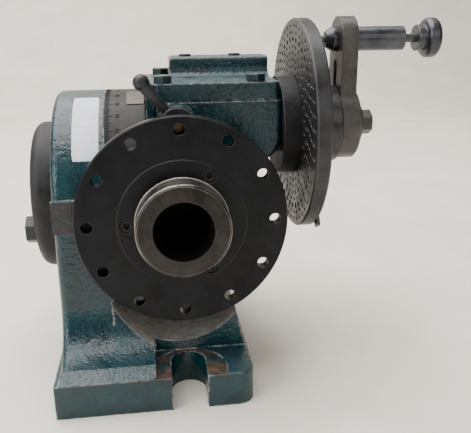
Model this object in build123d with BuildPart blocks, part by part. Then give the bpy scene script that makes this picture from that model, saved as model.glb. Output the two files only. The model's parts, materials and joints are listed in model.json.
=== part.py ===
from build123d import *
import os
from math import cos, pi, radians, sin, tan

os.makedirs("parts", exist_ok=True)

# Dividing head carried in a single swivel cheek.  Millimetres, +Z up, nose towards -Y.
# The origin lies on the underside of the foot, below the point where the spindle axis
# (along Y) crosses the swivel axis (along X).

# ---- clearances -------------------------------------------------------------------------
running_fit = 0.05        # radial, between a shaft and the bore it turns in
mounting_fit = 0.02       # radial, between pieces fixed to one another
side_gap = 0.3            # between faces that pass one another
roller_play = 0.05        # between a roller and its race
root_reach = 1.0          # how far a feature starts inside the body it grows from

# ---- base casting -----------------------------------------------------------------------
centre_height = 130.0
foot_left = 95.0
foot_right = 47.0
foot_thickness = 26.0
foot_corner = 12.0
foot_edge_round = 2.0
slot_width = 25.4
slot_depth = 37.5
spot_face_radius = 28.0
spot_face_sink = 0.5
cheek_radius = 84.0
cheek_left = 92.0
cheek_right = 53.0
cheek_round = 6.0
toe_height = 32.0         # where the hollow front of the column meets the foot
toe_setback = 10.0        # from the end of the foot to that hollow
column_sweep = 34.0       # radius of the hollow front
column_draft = 3.0        # that the column widens by at each end, from cheek to hollow
toe_right = 24.0          # left of the slot, where the hollow front ends
pad_height = 24.0
pad_rise = 4.0            # pad centre above the swivel axis
pad_proud = 2.0
saddle_half_length = 91.0
saddle_top = 66.0
saddle_foot_inset = 11.0  # inward lean of the saddle wall from foot to top
trough_radius = 54.0
trough_offset = -5.0
trough_axis_height = 88.0
swing_radius = 100.0      # room for the heel of the head as it swivels

# ---- swivel -----------------------------------------------------------------------------
trunnion_radius = 54.0
drum_core_radius = 76.0
drum_radius = 84.0
drum_right = 22.0
drum_bevel = 1.0
clamp_disc_radius = 59.5
clamp_disc_thickness = 19.0
clamp_disc_round = 8.0
clamp_bolt_circle = 42.0
clamp_bolt_start = 26.0   # degrees, of the first bolt
clamp_bolt_count = 2
clamp_bolt_radius = 6.0
clamp_bolt_flats = 19.0
clamp_bolt_head = 7.5
clamp_bolt_reach = 38.0   # below the bolt head

# ---- head casting -----------------------------------------------------------------------
barrel_radius = 58.0
barrel_front = -80.0
barrel_rear = 70.0
box_left = -16.0
box_right = 79.0
box_front = -60.0
box_rear = 30.0
box_floor = 34.0          # above the spindle axis
box_top = 80.0            # above the spindle axis
box_corner = 4.0
box_heel_round = 18.0
wheel_chamber_radius = 46.0
wheel_chamber_front = -50.0
wheel_chamber_rear = -12.0
bearing_shoulder_radius = 44.0
sleeve_bore_radius = 36.0
oil_window_left = -4.0
oil_window_right = 38.0
oil_window_width = 26.0
worm_tunnel_radius = 21.5

# ---- cover ------------------------------------------------------------------------------
gasket_thickness = 0.6
cover_thickness = 12.8
cover_inset = 1.7         # at the index end
raised_left = -2.0
raised_front = -8.0
raised_rear = 24.0
raised_height = 15.6
raised_blend = 8.0
raised_round = 3.0
cover_bolt_left = -8.8
cover_bolt_right = 60.5
cover_bolt_front = -50.0
cover_bolt_rear = 20.0
cover_bolt_radius = 4.0
cover_bolt_flats = 13.0
cover_bolt_head = 5.5
cover_bolt_reach = 19.0   # below the bolt head
plug_places = (11.5, 52.0)
plug_head_radius = 4.8
plug_head_height = 1.6
plug_radius = 3.0
plug_reach = 12.0

# ---- spindle ----------------------------------------------------------------------------
nose_radius = 33.4
nose_front = -118.0
nose_bevel = 1.5
plate_pilot_radius = 34.0 # the shoulder that centres the direct plate
mouth_bevel = 1.0
socket_radius = 20.5
socket_end_radius = 18.2
socket_length = 76.0
drawbar_radius = 15.0
spindle_flange_radius = 46.0
spindle_flange_thickness = 8.5
seal_land_radius = 38.5
front_journal_radius = 36.0
wheel_seat_radius = 32.0
sleeve_seat_radius = 30.0
rear_journal_radius = 27.0
nut_thread_radius = 26.5
tail_radius = 25.0
spindle_rear = 84.0

# ---- bearings ---------------------------------------------------------------------------
front_ring_wall = 3.15     # of the cup and the cone, half way along
front_cone_front = -75.5
front_bearing_width = 20.0
front_roller_radius = 2.8
front_roller_count = 20
rear_ring_wall = 3.55      # of the cup and the cone, half way along
rear_cone_front = 40.0
rear_bearing_width = 18.0
rear_roller_radius = 2.9
rear_roller_count = 16
roller_tilt = 6.4
roller_inset = 1.5        # from each face of the bearing
seal_width = 4.0
lock_washer_thickness = 1.5
nut_radius = 34.0
lock_washer_radius = 33.0
spacer_radius = 34.0
nut_width = 9.0
nut_slot_width = 6.0
nut_slot_count = 4
nut_slot_depth = 3.0
rear_cover_radius = 51.0
rear_cover_thickness = 7.0
rear_cover_gap = 1.0      # around the spindle tail
rear_screw_circle = 45.5
rear_screw_count = 6
rear_screw_start = 30.0    # degrees, of the first screw
rear_screw_radius = 2.5
rear_screw_head_radius = 4.25
rear_screw_head = 5.0
rear_screw_reach = 18.0

# ---- direct indexing --------------------------------------------------------------------
plate_front = -98.0
plate_radius = 76.2
plate_thickness = 9.0
plate_bevel = 0.8
plate_hub_radius = 46.0
plate_hub_rise = 1.0
direct_hole_circle = 66.9
direct_hole_radius = 4.1
direct_hole_count = 12
plate_screw_circle = 39.0
plate_screw_count = 3
plate_screw_angle = 60.0
plate_screw_radius = 3.0
plate_screw_head_radius = 5.0
plate_screw_head = 6.0
plate_screw_reach = 11.0
counterbore_room = 0.2
counterbore_sink = 0.8
direct_pin_radius = 4.0
direct_pin_length = 25.3
direct_pin_tip = 1.0
pin_bore_end = -55.0
pin_spring_wire = 0.8
pin_boss_front = -73.9
pin_boss_radius = 13.0
lever_hub_front = -84.0
lever_hub_width = 9.8
lever_hub_radius = 12.5
lever_root_reach = 10.5   # where the lever starts, inside its hub
lever_pocket_room = 0.5
lever_angle = 128.7       # degrees, seen from the nose
lever_length = 38.4
lever_ball_radius = 5.8
lever_root_radius = 3.0
lever_end_radius = 4.8

# ---- worm gear --------------------------------------------------------------------------
worm_y = -32.0
gear_module = 2.0
wheel_teeth = 40
wheel_front = -41.0
wheel_width = 18.0
worm_pitch_radius = 17.0
tooth_clearance = 0.4
wheel_tooth_thickness = 2.6
worm_thread_thickness = 2.4
pressure_angle = 20.0
worm_turns = 6
thread_sink = 0.8         # of the thread into the worm's core
worm_journal_radius = 7.0
worm_bush_radius = 9.0
worm_bush_left = -36.0
worm_bush_right = -21.6
worm_neck_radius = 11.0
worm_neck_left = 37.7
wheel_key_width = 8.0
wheel_key_height = 6.0
wheel_key_sink = 3.5
wheel_key_length = 14.0
thrust_washer_radius = 16.0

# ---- index plate, sector and crank ------------------------------------------------------
worm_flange_radius = 38.0
worm_flange_thickness = 13.5
worm_spigot_left = 40.0
flange_screw_span = 45.0
flange_screw_rise = 28.0
flange_screw_radius = 2.5
flange_screw_head_radius = 4.25
flange_screw_head = 5.0
flange_screw_reach = 21.0
spigot_radius = 17.0
spigot_right = 126.0
index_plate_radius = 81.0
index_plate_thickness = 11.0
index_plate_bevel = 1.0
index_hole_radius = 2.4
index_circles = ((47.0, 15), (53.0, 16), (59.0, 18), (65.0, 20), (71.0, 21), (77.0, 23))
index_screw_circle = 31.0
index_screw_count = 3
index_screw_radius = 2.0
index_screw_head_radius = 3.5
index_screw_head = 4.0
index_screw_reach = 14.0
sector_ring_radius = 26.0
sector_step_radius = 30.0  # where the trailing blade steps over the leading ring
sector_thickness = 2.5
sector_reach = 84.0
sector_arm_width = 14.0
sector_tip_width = 9.0
leading_arm_angle = -80.0
trailing_arm_angle = -120.0
sector_spring_radius = 23.0
sector_spring_thickness = 2.6
sector_collar_radius = 30.0
sector_collar_bevel = 1.5
crank_left = 127.0
crank_radius = 65.0       # from the worm axis to the index plunger
crank_boss_radius = 28.0
crank_boss_length = 15.0
crank_boss_bevel = 1.5
crank_arm_thickness = 12.5
crank_arm_root_radius = 17.0
crank_eye_radius = 17.0
crank_slot_length = 22.0
crank_slot_width = 8.0
crank_slot_place = 38.5
crank_seat_radius = 9.0
crank_key_width = 5.0
crank_key_height = 5.0
crank_key_sink = 3.0
crank_key_length = 12.0
crank_washer_radius = 15.5
crank_washer_thickness = 5.0
crank_nut_flats = 17.0
crank_nut_height = 10.0
crank_stud_radius = 5.0
crank_stud_right = 158.5

# ---- index plunger ----------------------------------------------------------------------
sleeve_left = 117.7
sleeve_right = 180.0
sleeve_radius = 9.2
sleeve_nose_radius = 6.0
sleeve_nose_length = 5.0
sleeve_front_wall = 12.0
sleeve_rear_wall = 8.0
plunger_chamber_radius = 6.5
plunger_tip = 107.0
plunger_tip_radius = 2.0
plunger_tip_length = 8.0
plunger_pin_radius = 2.6
plunger_collar_radius = 6.3
plunger_collar_left = 137.0
plunger_collar_width = 4.0
plunger_rod_radius = 3.3
plunger_spring_wire = 1.4
knob_step_left = 191.0
knob_step_length = 6.0
knob_step_radius = 10.0
knob_radius = 15.3
knob_length = 11.0
knob_round = 4.0

# ---- derived places ---------------------------------------------------------------------
waist_y = cheek_radius + column_draft
toe_y = waist_y + column_sweep
foot_half_length = toe_y + toe_setback
waist_z = toe_height + column_sweep
cheek_inner = -cheek_right + side_gap
cheek_outer = -cheek_left - side_gap
clamp_disc_left = cheek_outer - clamp_disc_thickness
wheel_pitch_radius = gear_module * wheel_teeth / 2
worm_rise = wheel_pitch_radius + worm_pitch_radius
worm_z = centre_height + worm_rise
worm_pitch = pi * gear_module
worm_root_radius = worm_pitch_radius - gear_module - tooth_clearance
wheel_root_radius = wheel_pitch_radius - gear_module - tooth_clearance
plate_rear = plate_front + plate_thickness
hub_front = plate_front - plate_hub_rise
spindle_flange_rear = plate_rear + spindle_flange_thickness
front_seat_radius = front_journal_radius + 2 * (front_ring_wall + front_roller_radius + roller_play)
rear_seat_radius = rear_journal_radius + 2 * (rear_ring_wall + rear_roller_radius + roller_play)
front_cone_rear = front_cone_front + front_bearing_width
rear_cone_rear = rear_cone_front + rear_bearing_width
wheel_rear = wheel_front + wheel_width
nut_front = rear_cone_rear + lock_washer_thickness
index_seat = box_right + worm_flange_thickness
index_face = index_seat + index_plate_thickness
leading_arm_left = index_face + side_gap
trailing_ring_left = leading_arm_left + sector_thickness + side_gap
sector_spring_left = trailing_ring_left + sector_thickness + side_gap
sector_collar_left = sector_spring_left + sector_spring_thickness + side_gap
crank_boss_right = crank_left + crank_boss_length
crank_nut_left = crank_boss_right + crank_washer_thickness
gasket_base = centre_height + box_top
cover_base = gasket_base + gasket_thickness
cover_face = cover_base + cover_thickness
cover_right = box_right - cover_inset
raised_top = cover_face + raised_height
direct_pin_front = plate_rear + side_gap
direct_pin_rear = direct_pin_front + direct_pin_length
lever_hub_rear = lever_hub_front + lever_hub_width

spindle_axis = Axis((0, 0, centre_height), (0, 1, 0))
swivel_axis = Axis((0, 0, centre_height), (1, 0, 0))
worm_axis = Axis((0, worm_y, worm_z), (1, 0, 0))
plunger_axis = Axis((0, worm_y, worm_z + crank_radius), (1, 0, 0))
direct_pin_axis = Axis((0, 0, centre_height + direct_hole_circle), (0, 1, 0))


def front_plane(y, height=centre_height):
    """Plane across the spindle direction, facing the nose."""
    return Plane(origin=(0, y, height), x_dir=(1, 0, 0), z_dir=(0, -1, 0))


def rear_plane(y):
    """Plane across the spindle axis, facing the tail."""
    return Plane(origin=(0, y, centre_height), x_dir=(-1, 0, 0), z_dir=(0, 1, 0))


def swivel_plane(x):
    """Plane across the swivel axis, facing +X."""
    return Plane(origin=(x, 0, centre_height), x_dir=(0, 1, 0), z_dir=(1, 0, 0))


def clamp_plane(x):
    """Plane across the swivel axis, facing -X with its x direction towards the nose."""
    return Plane(origin=(x, 0, centre_height), x_dir=(0, -1, 0), z_dir=(-1, 0, 0))


def worm_plane(x):
    """Plane across the worm axis, facing +X."""
    return Plane(origin=(x, worm_y, worm_z), x_dir=(0, 1, 0), z_dir=(1, 0, 0))


def polar_places(radius, count, start=0.0):
    """Places evenly spread on a circle, the first at the start angle in degrees."""
    angles = [radians(start + 360.0 * index / count) for index in range(count)]
    return [(radius * cos(angle), radius * sin(angle)) for angle in angles]


def turn(outline, axis, mode=Mode.ADD):
    """Revolve an outline of (place along the axis, radius) pairs about that axis."""
    along_y = abs(axis.direction.Y) > abs(axis.direction.X)
    side = Plane.YZ if along_y else Plane.XZ.offset(-axis.position.Y)
    with BuildSketch(side) as section:
        with BuildLine():
            points = [(place, axis.position.Z + radius) for place, radius in outline]
            Polyline(points, close=True)
        make_face()
    revolve(section.sketch, axis=axis, mode=mode)


def tube(axis, start, end, outer, inner, mode=Mode.ADD):
    """Make a plain ring between two places along an axis."""
    turn([(start, inner), (start, outer), (end, outer), (end, inner)], axis, mode)


def rod(axis, start, end, radius, mode=Mode.ADD):
    """Make a plain cylinder between two places along an axis."""
    turn([(start, 0), (start, radius), (end, radius), (end, 0)], axis, mode)


def discs(plane, places, radius, depth, mode=Mode.ADD):
    """Make a round bar at each place, from the plane down to a depth."""
    with BuildSketch(plane) as circles:
        with Locations(*places):
            Circle(radius)
    extrude(circles.sketch, amount=-depth, mode=mode)


def hexagons(plane, places, flats, height, mode=Mode.ADD):
    """Make a hexagonal bar standing on the plane at each place."""
    with BuildSketch(plane) as heads:
        with Locations(*places):
            RegularPolygon(flats / 2, 6, major_radius=False, rotation=30)
    extrude(heads.sketch, amount=height, mode=mode)


def cap_screws(plane, places, head_radius, head, radius, reach):
    """Make a socket cap screw at each place, its head standing on the plane."""
    discs(plane.offset(head), places, head_radius, head)
    discs(plane, places, radius, reach)
    hexagons(plane.offset(head), places, head_radius, -head / 2, Mode.SUBTRACT)


def taper_rollers(front, width, mid_radius, radius, count):
    """Make a ring of equal rollers tilted towards the tail of the bearing."""
    half = width / 2 - roller_inset
    middle = front + width / 2
    for place in polar_places(mid_radius, count):
        angle = (place[0] / mid_radius, place[1] / mid_radius)
        lean = tan(radians(roller_tilt))
        start = Vector(place[0] - angle[0] * lean * half, middle - half,
                       centre_height + place[1] - angle[1] * lean * half)
        end = Vector(place[0] + angle[0] * lean * half, middle + half,
                     centre_height + place[1] + angle[1] * lean * half)
        with BuildSketch(Plane(origin=start, z_dir=end - start)) as section:
            Circle(radius)
        extrude(section.sketch, amount=(end - start).length)


def save(part, label):
    """Label a finished piece and write it to its own file."""
    part.label = label
    export_step(part, f"parts/{label}.step")


# ---- base casting: foot, column, swivel cheek and saddle --------------------------------
with BuildPart() as base_casting:
    with BuildSketch(Plane.YZ.offset(-cheek_left)):
        with BuildLine():
            for end in (-1, 1):
                Polyline((0, 0), (end * foot_half_length, 0), (end * foot_half_length, foot_thickness),
                         (end * toe_y, toe_height))
                CenterArc((end * toe_y, waist_z), column_sweep, -90, -90 * end)
                Line((end * waist_y, waist_z), (end * cheek_radius, centre_height))
            CenterArc((0, centre_height), cheek_radius, 0, 180)
        make_face()
    extrude(amount=cheek_left - cheek_right)
    fillet(base_casting.faces().sort_by(Axis.X)[0].edges().filter_by(
        lambda edge: edge.center().Z > toe_height), cheek_round)
    with BuildSketch():
        with Locations(((foot_right - foot_left) / 2, 0)):
            Rectangle(foot_left + foot_right, 2 * foot_half_length)
    extrude(amount=foot_thickness)
    fillet(base_casting.edges().filter_by(Axis.Z).group_by(Axis.X)[-1], foot_corner)
    fillet(base_casting.faces().sort_by(Axis.X)[-1].edges().sort_by(Axis.Z)[-1:], foot_edge_round)
    with BuildSketch(front_plane(-saddle_half_length, 0)):
        with BuildLine():
            Polyline((-cheek_right - root_reach, 0), (foot_right - foot_edge_round, 0),
                     (foot_right - foot_edge_round, foot_thickness),
                     (foot_right - saddle_foot_inset, saddle_top), (-cheek_right - root_reach, saddle_top),
                     close=True)
        make_face()
    extrude(amount=-2 * saddle_half_length)
    with BuildSketch(Plane.YZ.offset(-cheek_right)):
        with Locations((-toe_y, waist_z), (toe_y, waist_z)):
            Circle(column_sweep)
    extrude(amount=cheek_right - toe_right, mode=Mode.SUBTRACT)
    for end in (-1, 1):
        with BuildSketch(Plane.YZ.offset(-cheek_right)):
            with BuildLine():
                CenterArc((end * toe_y, waist_z), column_sweep, -90, -90 * end)
                Polyline((end * toe_y, toe_height), (end * foot_half_length, foot_thickness),
                         (end * foot_half_length, 0), (end * waist_y, 0), (end * waist_y, waist_z))
            make_face()
        extrude(amount=cheek_right - toe_right)
    with BuildSketch(front_plane(-foot_half_length, 0)):
        with Locations((trough_offset, trough_axis_height)):
            Circle(trough_radius)
        with Locations(((foot_right - cheek_right) / 2, trough_axis_height)):
            Rectangle(foot_right + cheek_right, 2 * trough_radius, mode=Mode.INTERSECT)
    extrude(amount=-2 * foot_half_length, mode=Mode.SUBTRACT)
    with BuildSketch(swivel_plane(-cheek_right)):
        Circle(swing_radius)
    extrude(amount=foot_right + cheek_right, mode=Mode.SUBTRACT)
    with BuildSketch(Plane.YZ.offset(-cheek_left)):
        with Locations((-cheek_radius, centre_height + pad_rise)):
            Rectangle(2 * pad_proud, pad_height)
    extrude(amount=cheek_left - cheek_right)
    rod(swivel_axis, -foot_left, -cheek_right + root_reach, trunnion_radius, Mode.SUBTRACT)
    with BuildSketch():
        for end in (-1, 1):
            with Locations((0, end * foot_half_length)):
                SlotOverall(2 * slot_depth, slot_width, rotation=90)
    extrude(amount=foot_thickness, mode=Mode.SUBTRACT)
    with BuildSketch(Plane.XY.offset(foot_thickness)):
        for end in (-1, 1):
            with Locations((0, end * (saddle_half_length + spot_face_radius))):
                Circle(spot_face_radius)
    extrude(amount=-spot_face_sink, mode=Mode.SUBTRACT)
save(base_casting.part, "base_casting")

# ---- head casting: trunnion, drum core, spindle barrel and worm box ---------------------
with BuildPart() as head_casting:
    with BuildSketch(Plane.XZ.offset(-box_rear)):
        with Locations(((box_left + box_right) / 2, centre_height + (box_floor + box_top) / 2)):
            Rectangle(box_right - box_left, box_top - box_floor)
    extrude(amount=box_rear - box_front)
    fillet(head_casting.edges().filter_by(Axis.Y).group_by(Axis.X)[-1].sort_by(Axis.Z)[0], box_heel_round)
    fillet(head_casting.edges().filter_by(Axis.Z), box_corner)
    rod(spindle_axis, barrel_front, barrel_rear, barrel_radius)
    rod(swivel_axis, -barrel_radius, cheek_inner, swing_radius, Mode.SUBTRACT)
    turn([(cheek_outer, 0), (cheek_outer, trunnion_radius - running_fit),
          (cheek_inner, trunnion_radius - running_fit), (cheek_inner, drum_core_radius),
          (-drum_right, drum_core_radius), (-drum_right, 0)], swivel_axis)
    rod(spindle_axis, barrel_rear, drum_radius, rear_cover_radius + side_gap, Mode.SUBTRACT)
    rod(direct_pin_axis, pin_boss_front, box_front + root_reach, pin_boss_radius)
    rod(direct_pin_axis, barrel_front, pin_boss_front, lever_hub_radius + lever_pocket_room,
        Mode.SUBTRACT)
    turn([(barrel_front, 0), (barrel_front, front_seat_radius + mounting_fit),
          (front_cone_rear, front_seat_radius + mounting_fit),
          (front_cone_rear, bearing_shoulder_radius), (wheel_chamber_front, bearing_shoulder_radius),
          (wheel_chamber_front, wheel_chamber_radius), (wheel_chamber_rear, wheel_chamber_radius),
          (wheel_chamber_rear, sleeve_bore_radius), (rear_cone_front, sleeve_bore_radius),
          (rear_cone_front, rear_seat_radius + mounting_fit),
          (barrel_rear, rear_seat_radius + mounting_fit), (barrel_rear, 0)],
         spindle_axis, Mode.SUBTRACT)
    rod(worm_axis, worm_bush_right, box_right, worm_tunnel_radius, Mode.SUBTRACT)
    rod(worm_axis, worm_bush_left, worm_bush_right, worm_bush_radius + mounting_fit, Mode.SUBTRACT)
    with BuildSketch(Plane.XY.offset(worm_z)):
        with Locations(((oil_window_left + oil_window_right) / 2, worm_y)):
            Rectangle(oil_window_right - oil_window_left, oil_window_width)
    extrude(amount=gasket_base - worm_z, mode=Mode.SUBTRACT)
    rod(direct_pin_axis, pin_boss_front, pin_bore_end, direct_pin_radius + running_fit, Mode.SUBTRACT)
    clamp_bolt_places = polar_places(clamp_bolt_circle, clamp_bolt_count, clamp_bolt_start)
    discs(clamp_plane(cheek_outer), [(y, -z) for y, z in clamp_bolt_places],
          clamp_bolt_radius, clamp_bolt_reach - clamp_disc_thickness, Mode.SUBTRACT)
    cover_bolt_places = [(cover_bolt_left, cover_bolt_front), (cover_bolt_right, cover_bolt_front),
                         (cover_bolt_left, cover_bolt_rear)]
    discs(Plane.XY.offset(gasket_base), cover_bolt_places, cover_bolt_radius,
          cover_bolt_reach - cover_thickness - gasket_thickness, Mode.SUBTRACT)
    rear_screw_places = polar_places(rear_screw_circle, rear_screw_count, rear_screw_start)
    discs(rear_plane(barrel_rear), rear_screw_places, rear_screw_radius,
          rear_screw_reach - rear_cover_thickness, Mode.SUBTRACT)
    flange_screw_places = [(y * flange_screw_span / 2, z * flange_screw_rise / 2)
                           for y in (-1, 1) for z in (-1, 1)]
    flange_screw_seat = index_seat - side_gap - flange_screw_head
    discs(worm_plane(box_right), flange_screw_places, flange_screw_radius,
          flange_screw_reach - (flange_screw_seat - box_right), Mode.SUBTRACT)
save(head_casting.part, "head_casting")

# ---- swivel drum, clamp disc and clamp bolts --------------------------------------------
with BuildPart() as swivel_drum:
    tube(swivel_axis, cheek_inner, -drum_right, drum_radius, drum_core_radius + mounting_fit)
    chamfer(swivel_drum.edges().group_by(Axis.X)[-1].sort_by(lambda edge: edge.radius)[-1:],
            drum_bevel)
    rod(spindle_axis, -drum_radius, drum_radius, barrel_radius + mounting_fit, Mode.SUBTRACT)
save(swivel_drum.part, "swivel_drum")

with BuildPart() as clamp_disc:
    rod(swivel_axis, clamp_disc_left, cheek_outer, clamp_disc_radius)
    fillet(clamp_disc.edges().group_by(Axis.X)[0], clamp_disc_round)
    discs(clamp_plane(clamp_disc_left), [(y, -z) for y, z in clamp_bolt_places],
          clamp_bolt_radius + mounting_fit, clamp_disc_thickness, Mode.SUBTRACT)
save(clamp_disc.part, "clamp_disc")

with BuildPart() as clamp_bolts:
    hexagons(clamp_plane(clamp_disc_left), [(y, -z) for y, z in clamp_bolt_places],
             clamp_bolt_flats, clamp_bolt_head)
    discs(clamp_plane(clamp_disc_left), [(y, -z) for y, z in clamp_bolt_places],
          clamp_bolt_radius, clamp_bolt_reach)
save(clamp_bolts.part, "clamp_bolts")

# ---- cover, gasket, bolts and plugs -----------------------------------------------------
cover_centre = ((box_left + cover_right) / 2, (box_front + box_rear) / 2)
with BuildPart() as top_cover:
    with BuildSketch(Plane.XY.offset(cover_base)):
        with Locations(cover_centre):
            RectangleRounded(cover_right - box_left, box_rear - box_front, box_corner)
    extrude(amount=cover_thickness)
    with BuildSketch(Plane.XZ.offset(-raised_rear)):
        with BuildLine():
            Polyline((raised_left, cover_face), (raised_left, raised_top),
                     (cover_right, raised_top), (cover_right, cover_face), close=True)
        make_face()
    extrude(amount=raised_rear - raised_front)
    fillet(top_cover.edges().filter_by(Axis.X).group_by(Axis.Z)[-1]
           + top_cover.edges().filter_by(Axis.Y).group_by(Axis.Z)[-1].sort_by(Axis.X)[:1], raised_round)
    with BuildSketch(Plane.YZ.offset(raised_left)):
        with BuildLine():
            Line((raised_front - raised_blend, cover_face), (raised_front, cover_face))
            Line((raised_front, cover_face), (raised_front, cover_face + raised_blend))
            CenterArc((raised_front - raised_blend, cover_face + raised_blend), raised_blend, -90, 90)
        make_face()
    extrude(amount=cover_right - raised_left)
    discs(Plane.XY.offset(cover_face), cover_bolt_places, cover_bolt_radius + mounting_fit,
          cover_thickness, Mode.SUBTRACT)
    discs(Plane.XY.offset(raised_top), [(x, (raised_front + raised_rear) / 2) for x in plug_places],
          plug_radius + mounting_fit, plug_reach, Mode.SUBTRACT)
save(top_cover.part, "top_cover")

with BuildPart() as cover_gasket:
    with BuildSketch(Plane.XY.offset(gasket_base)):
        with Locations(cover_centre):
            RectangleRounded(cover_right - box_left, box_rear - box_front, box_corner)
        with Locations(*cover_bolt_places):
            Circle(cover_bolt_radius + mounting_fit, mode=Mode.SUBTRACT)
        with Locations(((oil_window_left + oil_window_right) / 2, worm_y)):
            Rectangle(oil_window_right - oil_window_left, oil_window_width, mode=Mode.SUBTRACT)
    extrude(amount=gasket_thickness)
save(cover_gasket.part, "cover_gasket")

with BuildPart() as cover_bolts:
    hexagons(Plane.XY.offset(cover_face), cover_bolt_places, cover_bolt_flats, cover_bolt_head)
    discs(Plane.XY.offset(cover_face), cover_bolt_places, cover_bolt_radius, cover_bolt_reach)
save(cover_bolts.part, "cover_bolts")

with BuildPart() as oil_plugs:
    plug_spots = [(x, (raised_front + raised_rear) / 2) for x in plug_places]
    discs(Plane.XY.offset(raised_top + plug_head_height), plug_spots, plug_head_radius, plug_head_height)
    discs(Plane.XY.offset(raised_top), plug_spots, plug_radius, plug_reach)
save(oil_plugs.part, "oil_plugs")

# ---- spindle ----------------------------------------------------------------------------
with BuildPart() as spindle:
    turn([(nose_front, socket_radius + mouth_bevel), (nose_front, nose_radius - nose_bevel),
          (nose_front + nose_bevel, nose_radius), (hub_front, nose_radius),
          (hub_front, plate_pilot_radius), (plate_rear, plate_pilot_radius),
          (plate_rear, spindle_flange_radius), (spindle_flange_rear, spindle_flange_radius),
          (spindle_flange_rear, seal_land_radius), (front_cone_front, seal_land_radius),
          (front_cone_front, front_journal_radius), (wheel_front, front_journal_radius),
          (wheel_front, wheel_seat_radius), (wheel_rear, wheel_seat_radius),
          (wheel_rear, sleeve_seat_radius), (rear_cone_front, sleeve_seat_radius),
          (rear_cone_front, rear_journal_radius), (rear_cone_rear, rear_journal_radius),
          (rear_cone_rear, nut_thread_radius), (barrel_rear, nut_thread_radius),
          (barrel_rear, tail_radius), (spindle_rear, tail_radius), (spindle_rear, drawbar_radius),
          (nose_front + socket_length, drawbar_radius),
          (nose_front + socket_length, socket_end_radius),
          (nose_front + mouth_bevel, socket_radius)], spindle_axis)
    with BuildSketch(Plane.XY.offset(centre_height - wheel_seat_radius + wheel_key_sink)):
        with Locations((0, (wheel_front + wheel_rear) / 2)):
            Rectangle(wheel_key_width, wheel_key_length)
    extrude(amount=-2 * wheel_key_sink, mode=Mode.SUBTRACT)
    plate_screw_places = polar_places(plate_screw_circle, plate_screw_count, plate_screw_angle)
    plate_screw_seat = hub_front + counterbore_sink + plate_screw_head
    discs(front_plane(plate_rear), plate_screw_places, plate_screw_radius,
          plate_screw_reach - (plate_rear - plate_screw_seat), Mode.SUBTRACT)
save(spindle.part, "spindle")

with BuildPart() as direct_plate:
    turn([(hub_front, plate_pilot_radius + mounting_fit), (hub_front, plate_hub_radius),
          (plate_front, plate_hub_radius), (plate_front, plate_radius - plate_bevel),
          (plate_front + plate_bevel, plate_radius), (plate_rear - plate_bevel, plate_radius),
          (plate_rear, plate_radius - plate_bevel), (plate_rear, plate_pilot_radius + mounting_fit)],
         spindle_axis)
    discs(front_plane(hub_front), polar_places(direct_hole_circle, direct_hole_count, 90),
          direct_hole_radius, plate_thickness + plate_hub_rise, Mode.SUBTRACT)
    discs(front_plane(hub_front), plate_screw_places, plate_screw_head_radius + counterbore_room,
          plate_screw_seat - hub_front, Mode.SUBTRACT)
    discs(front_plane(hub_front), plate_screw_places, plate_screw_radius + mounting_fit,
          plate_rear - hub_front, Mode.SUBTRACT)
save(direct_plate.part, "direct_plate")

with BuildPart() as direct_plate_screws:
    cap_screws(front_plane(plate_screw_seat), plate_screw_places, plate_screw_head_radius,
               plate_screw_head, plate_screw_radius, plate_screw_reach)
save(direct_plate_screws.part, "direct_plate_screws")

# ---- worm wheel, key and spacer sleeve --------------------------------------------------
with BuildPart() as worm_wheel:
    tube(spindle_axis, wheel_front, wheel_rear, wheel_root_radius, wheel_seat_radius + mounting_fit)
    flank = tan(radians(pressure_angle))
    root_half = wheel_tooth_thickness / 2 + (gear_module + tooth_clearance) * flank
    tip_half = wheel_tooth_thickness / 2 - gear_module * flank
    with BuildSketch(Plane.XY, mode=Mode.PRIVATE) as wheel_tooth:
        with BuildLine():
            Polyline((wheel_root_radius - root_reach, -root_half), (wheel_root_radius, -root_half),
                     (wheel_pitch_radius + gear_module, -tip_half),
                     (wheel_pitch_radius + gear_module, tip_half),
                     (wheel_root_radius, root_half), (wheel_root_radius - root_reach, root_half),
                     close=True)
        make_face()
    with BuildSketch(front_plane(wheel_front)):
        with PolarLocations(0, wheel_teeth, start_angle=90):
            add(wheel_tooth.sketch)
    extrude(amount=-wheel_width)
    with BuildSketch(front_plane(wheel_front)):
        with Locations((0, -wheel_seat_radius)):
            Rectangle(wheel_key_width, 2 * (wheel_key_height - wheel_key_sink + mounting_fit))
    extrude(amount=-wheel_width, mode=Mode.SUBTRACT)
save(worm_wheel.part, "worm_wheel")

with BuildPart() as wheel_key:
    with BuildSketch(Plane.XY.offset(centre_height - wheel_seat_radius + wheel_key_sink)):
        with Locations((0, (wheel_front + wheel_rear) / 2)):
            Rectangle(wheel_key_width, wheel_key_length)
    extrude(amount=-wheel_key_height)
save(wheel_key.part, "wheel_key")

with BuildPart() as spacer_sleeve:
    tube(spindle_axis, wheel_rear, rear_cone_front, spacer_radius,
         sleeve_seat_radius + mounting_fit)
save(spacer_sleeve.part, "spacer_sleeve")


# ---- spindle bearings, nut, seal and rear cover -----------------------------------------
def bearing(front, width, bore, outside, roller, is_cup):
    """Turn the cup or the cone of a taper roller bearing about the spindle axis."""
    middle = (bore + outside) / 2
    lean = tan(radians(roller_tilt)) * width / 2
    reach = (roller + roller_play) / cos(radians(roller_tilt))
    if is_cup:
        turn([(front, outside), (front, middle - lean + reach),
              (front + width, middle + lean + reach), (front + width, outside)], spindle_axis)
    else:
        turn([(front, bore + mounting_fit), (front, middle - lean - reach),
              (front + width, middle + lean - reach), (front + width, bore + mounting_fit)],
             spindle_axis)


with BuildPart() as front_bearing_cup:
    bearing(front_cone_front, front_bearing_width, front_journal_radius, front_seat_radius,
            front_roller_radius, True)
save(front_bearing_cup.part, "front_bearing_cup")

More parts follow.
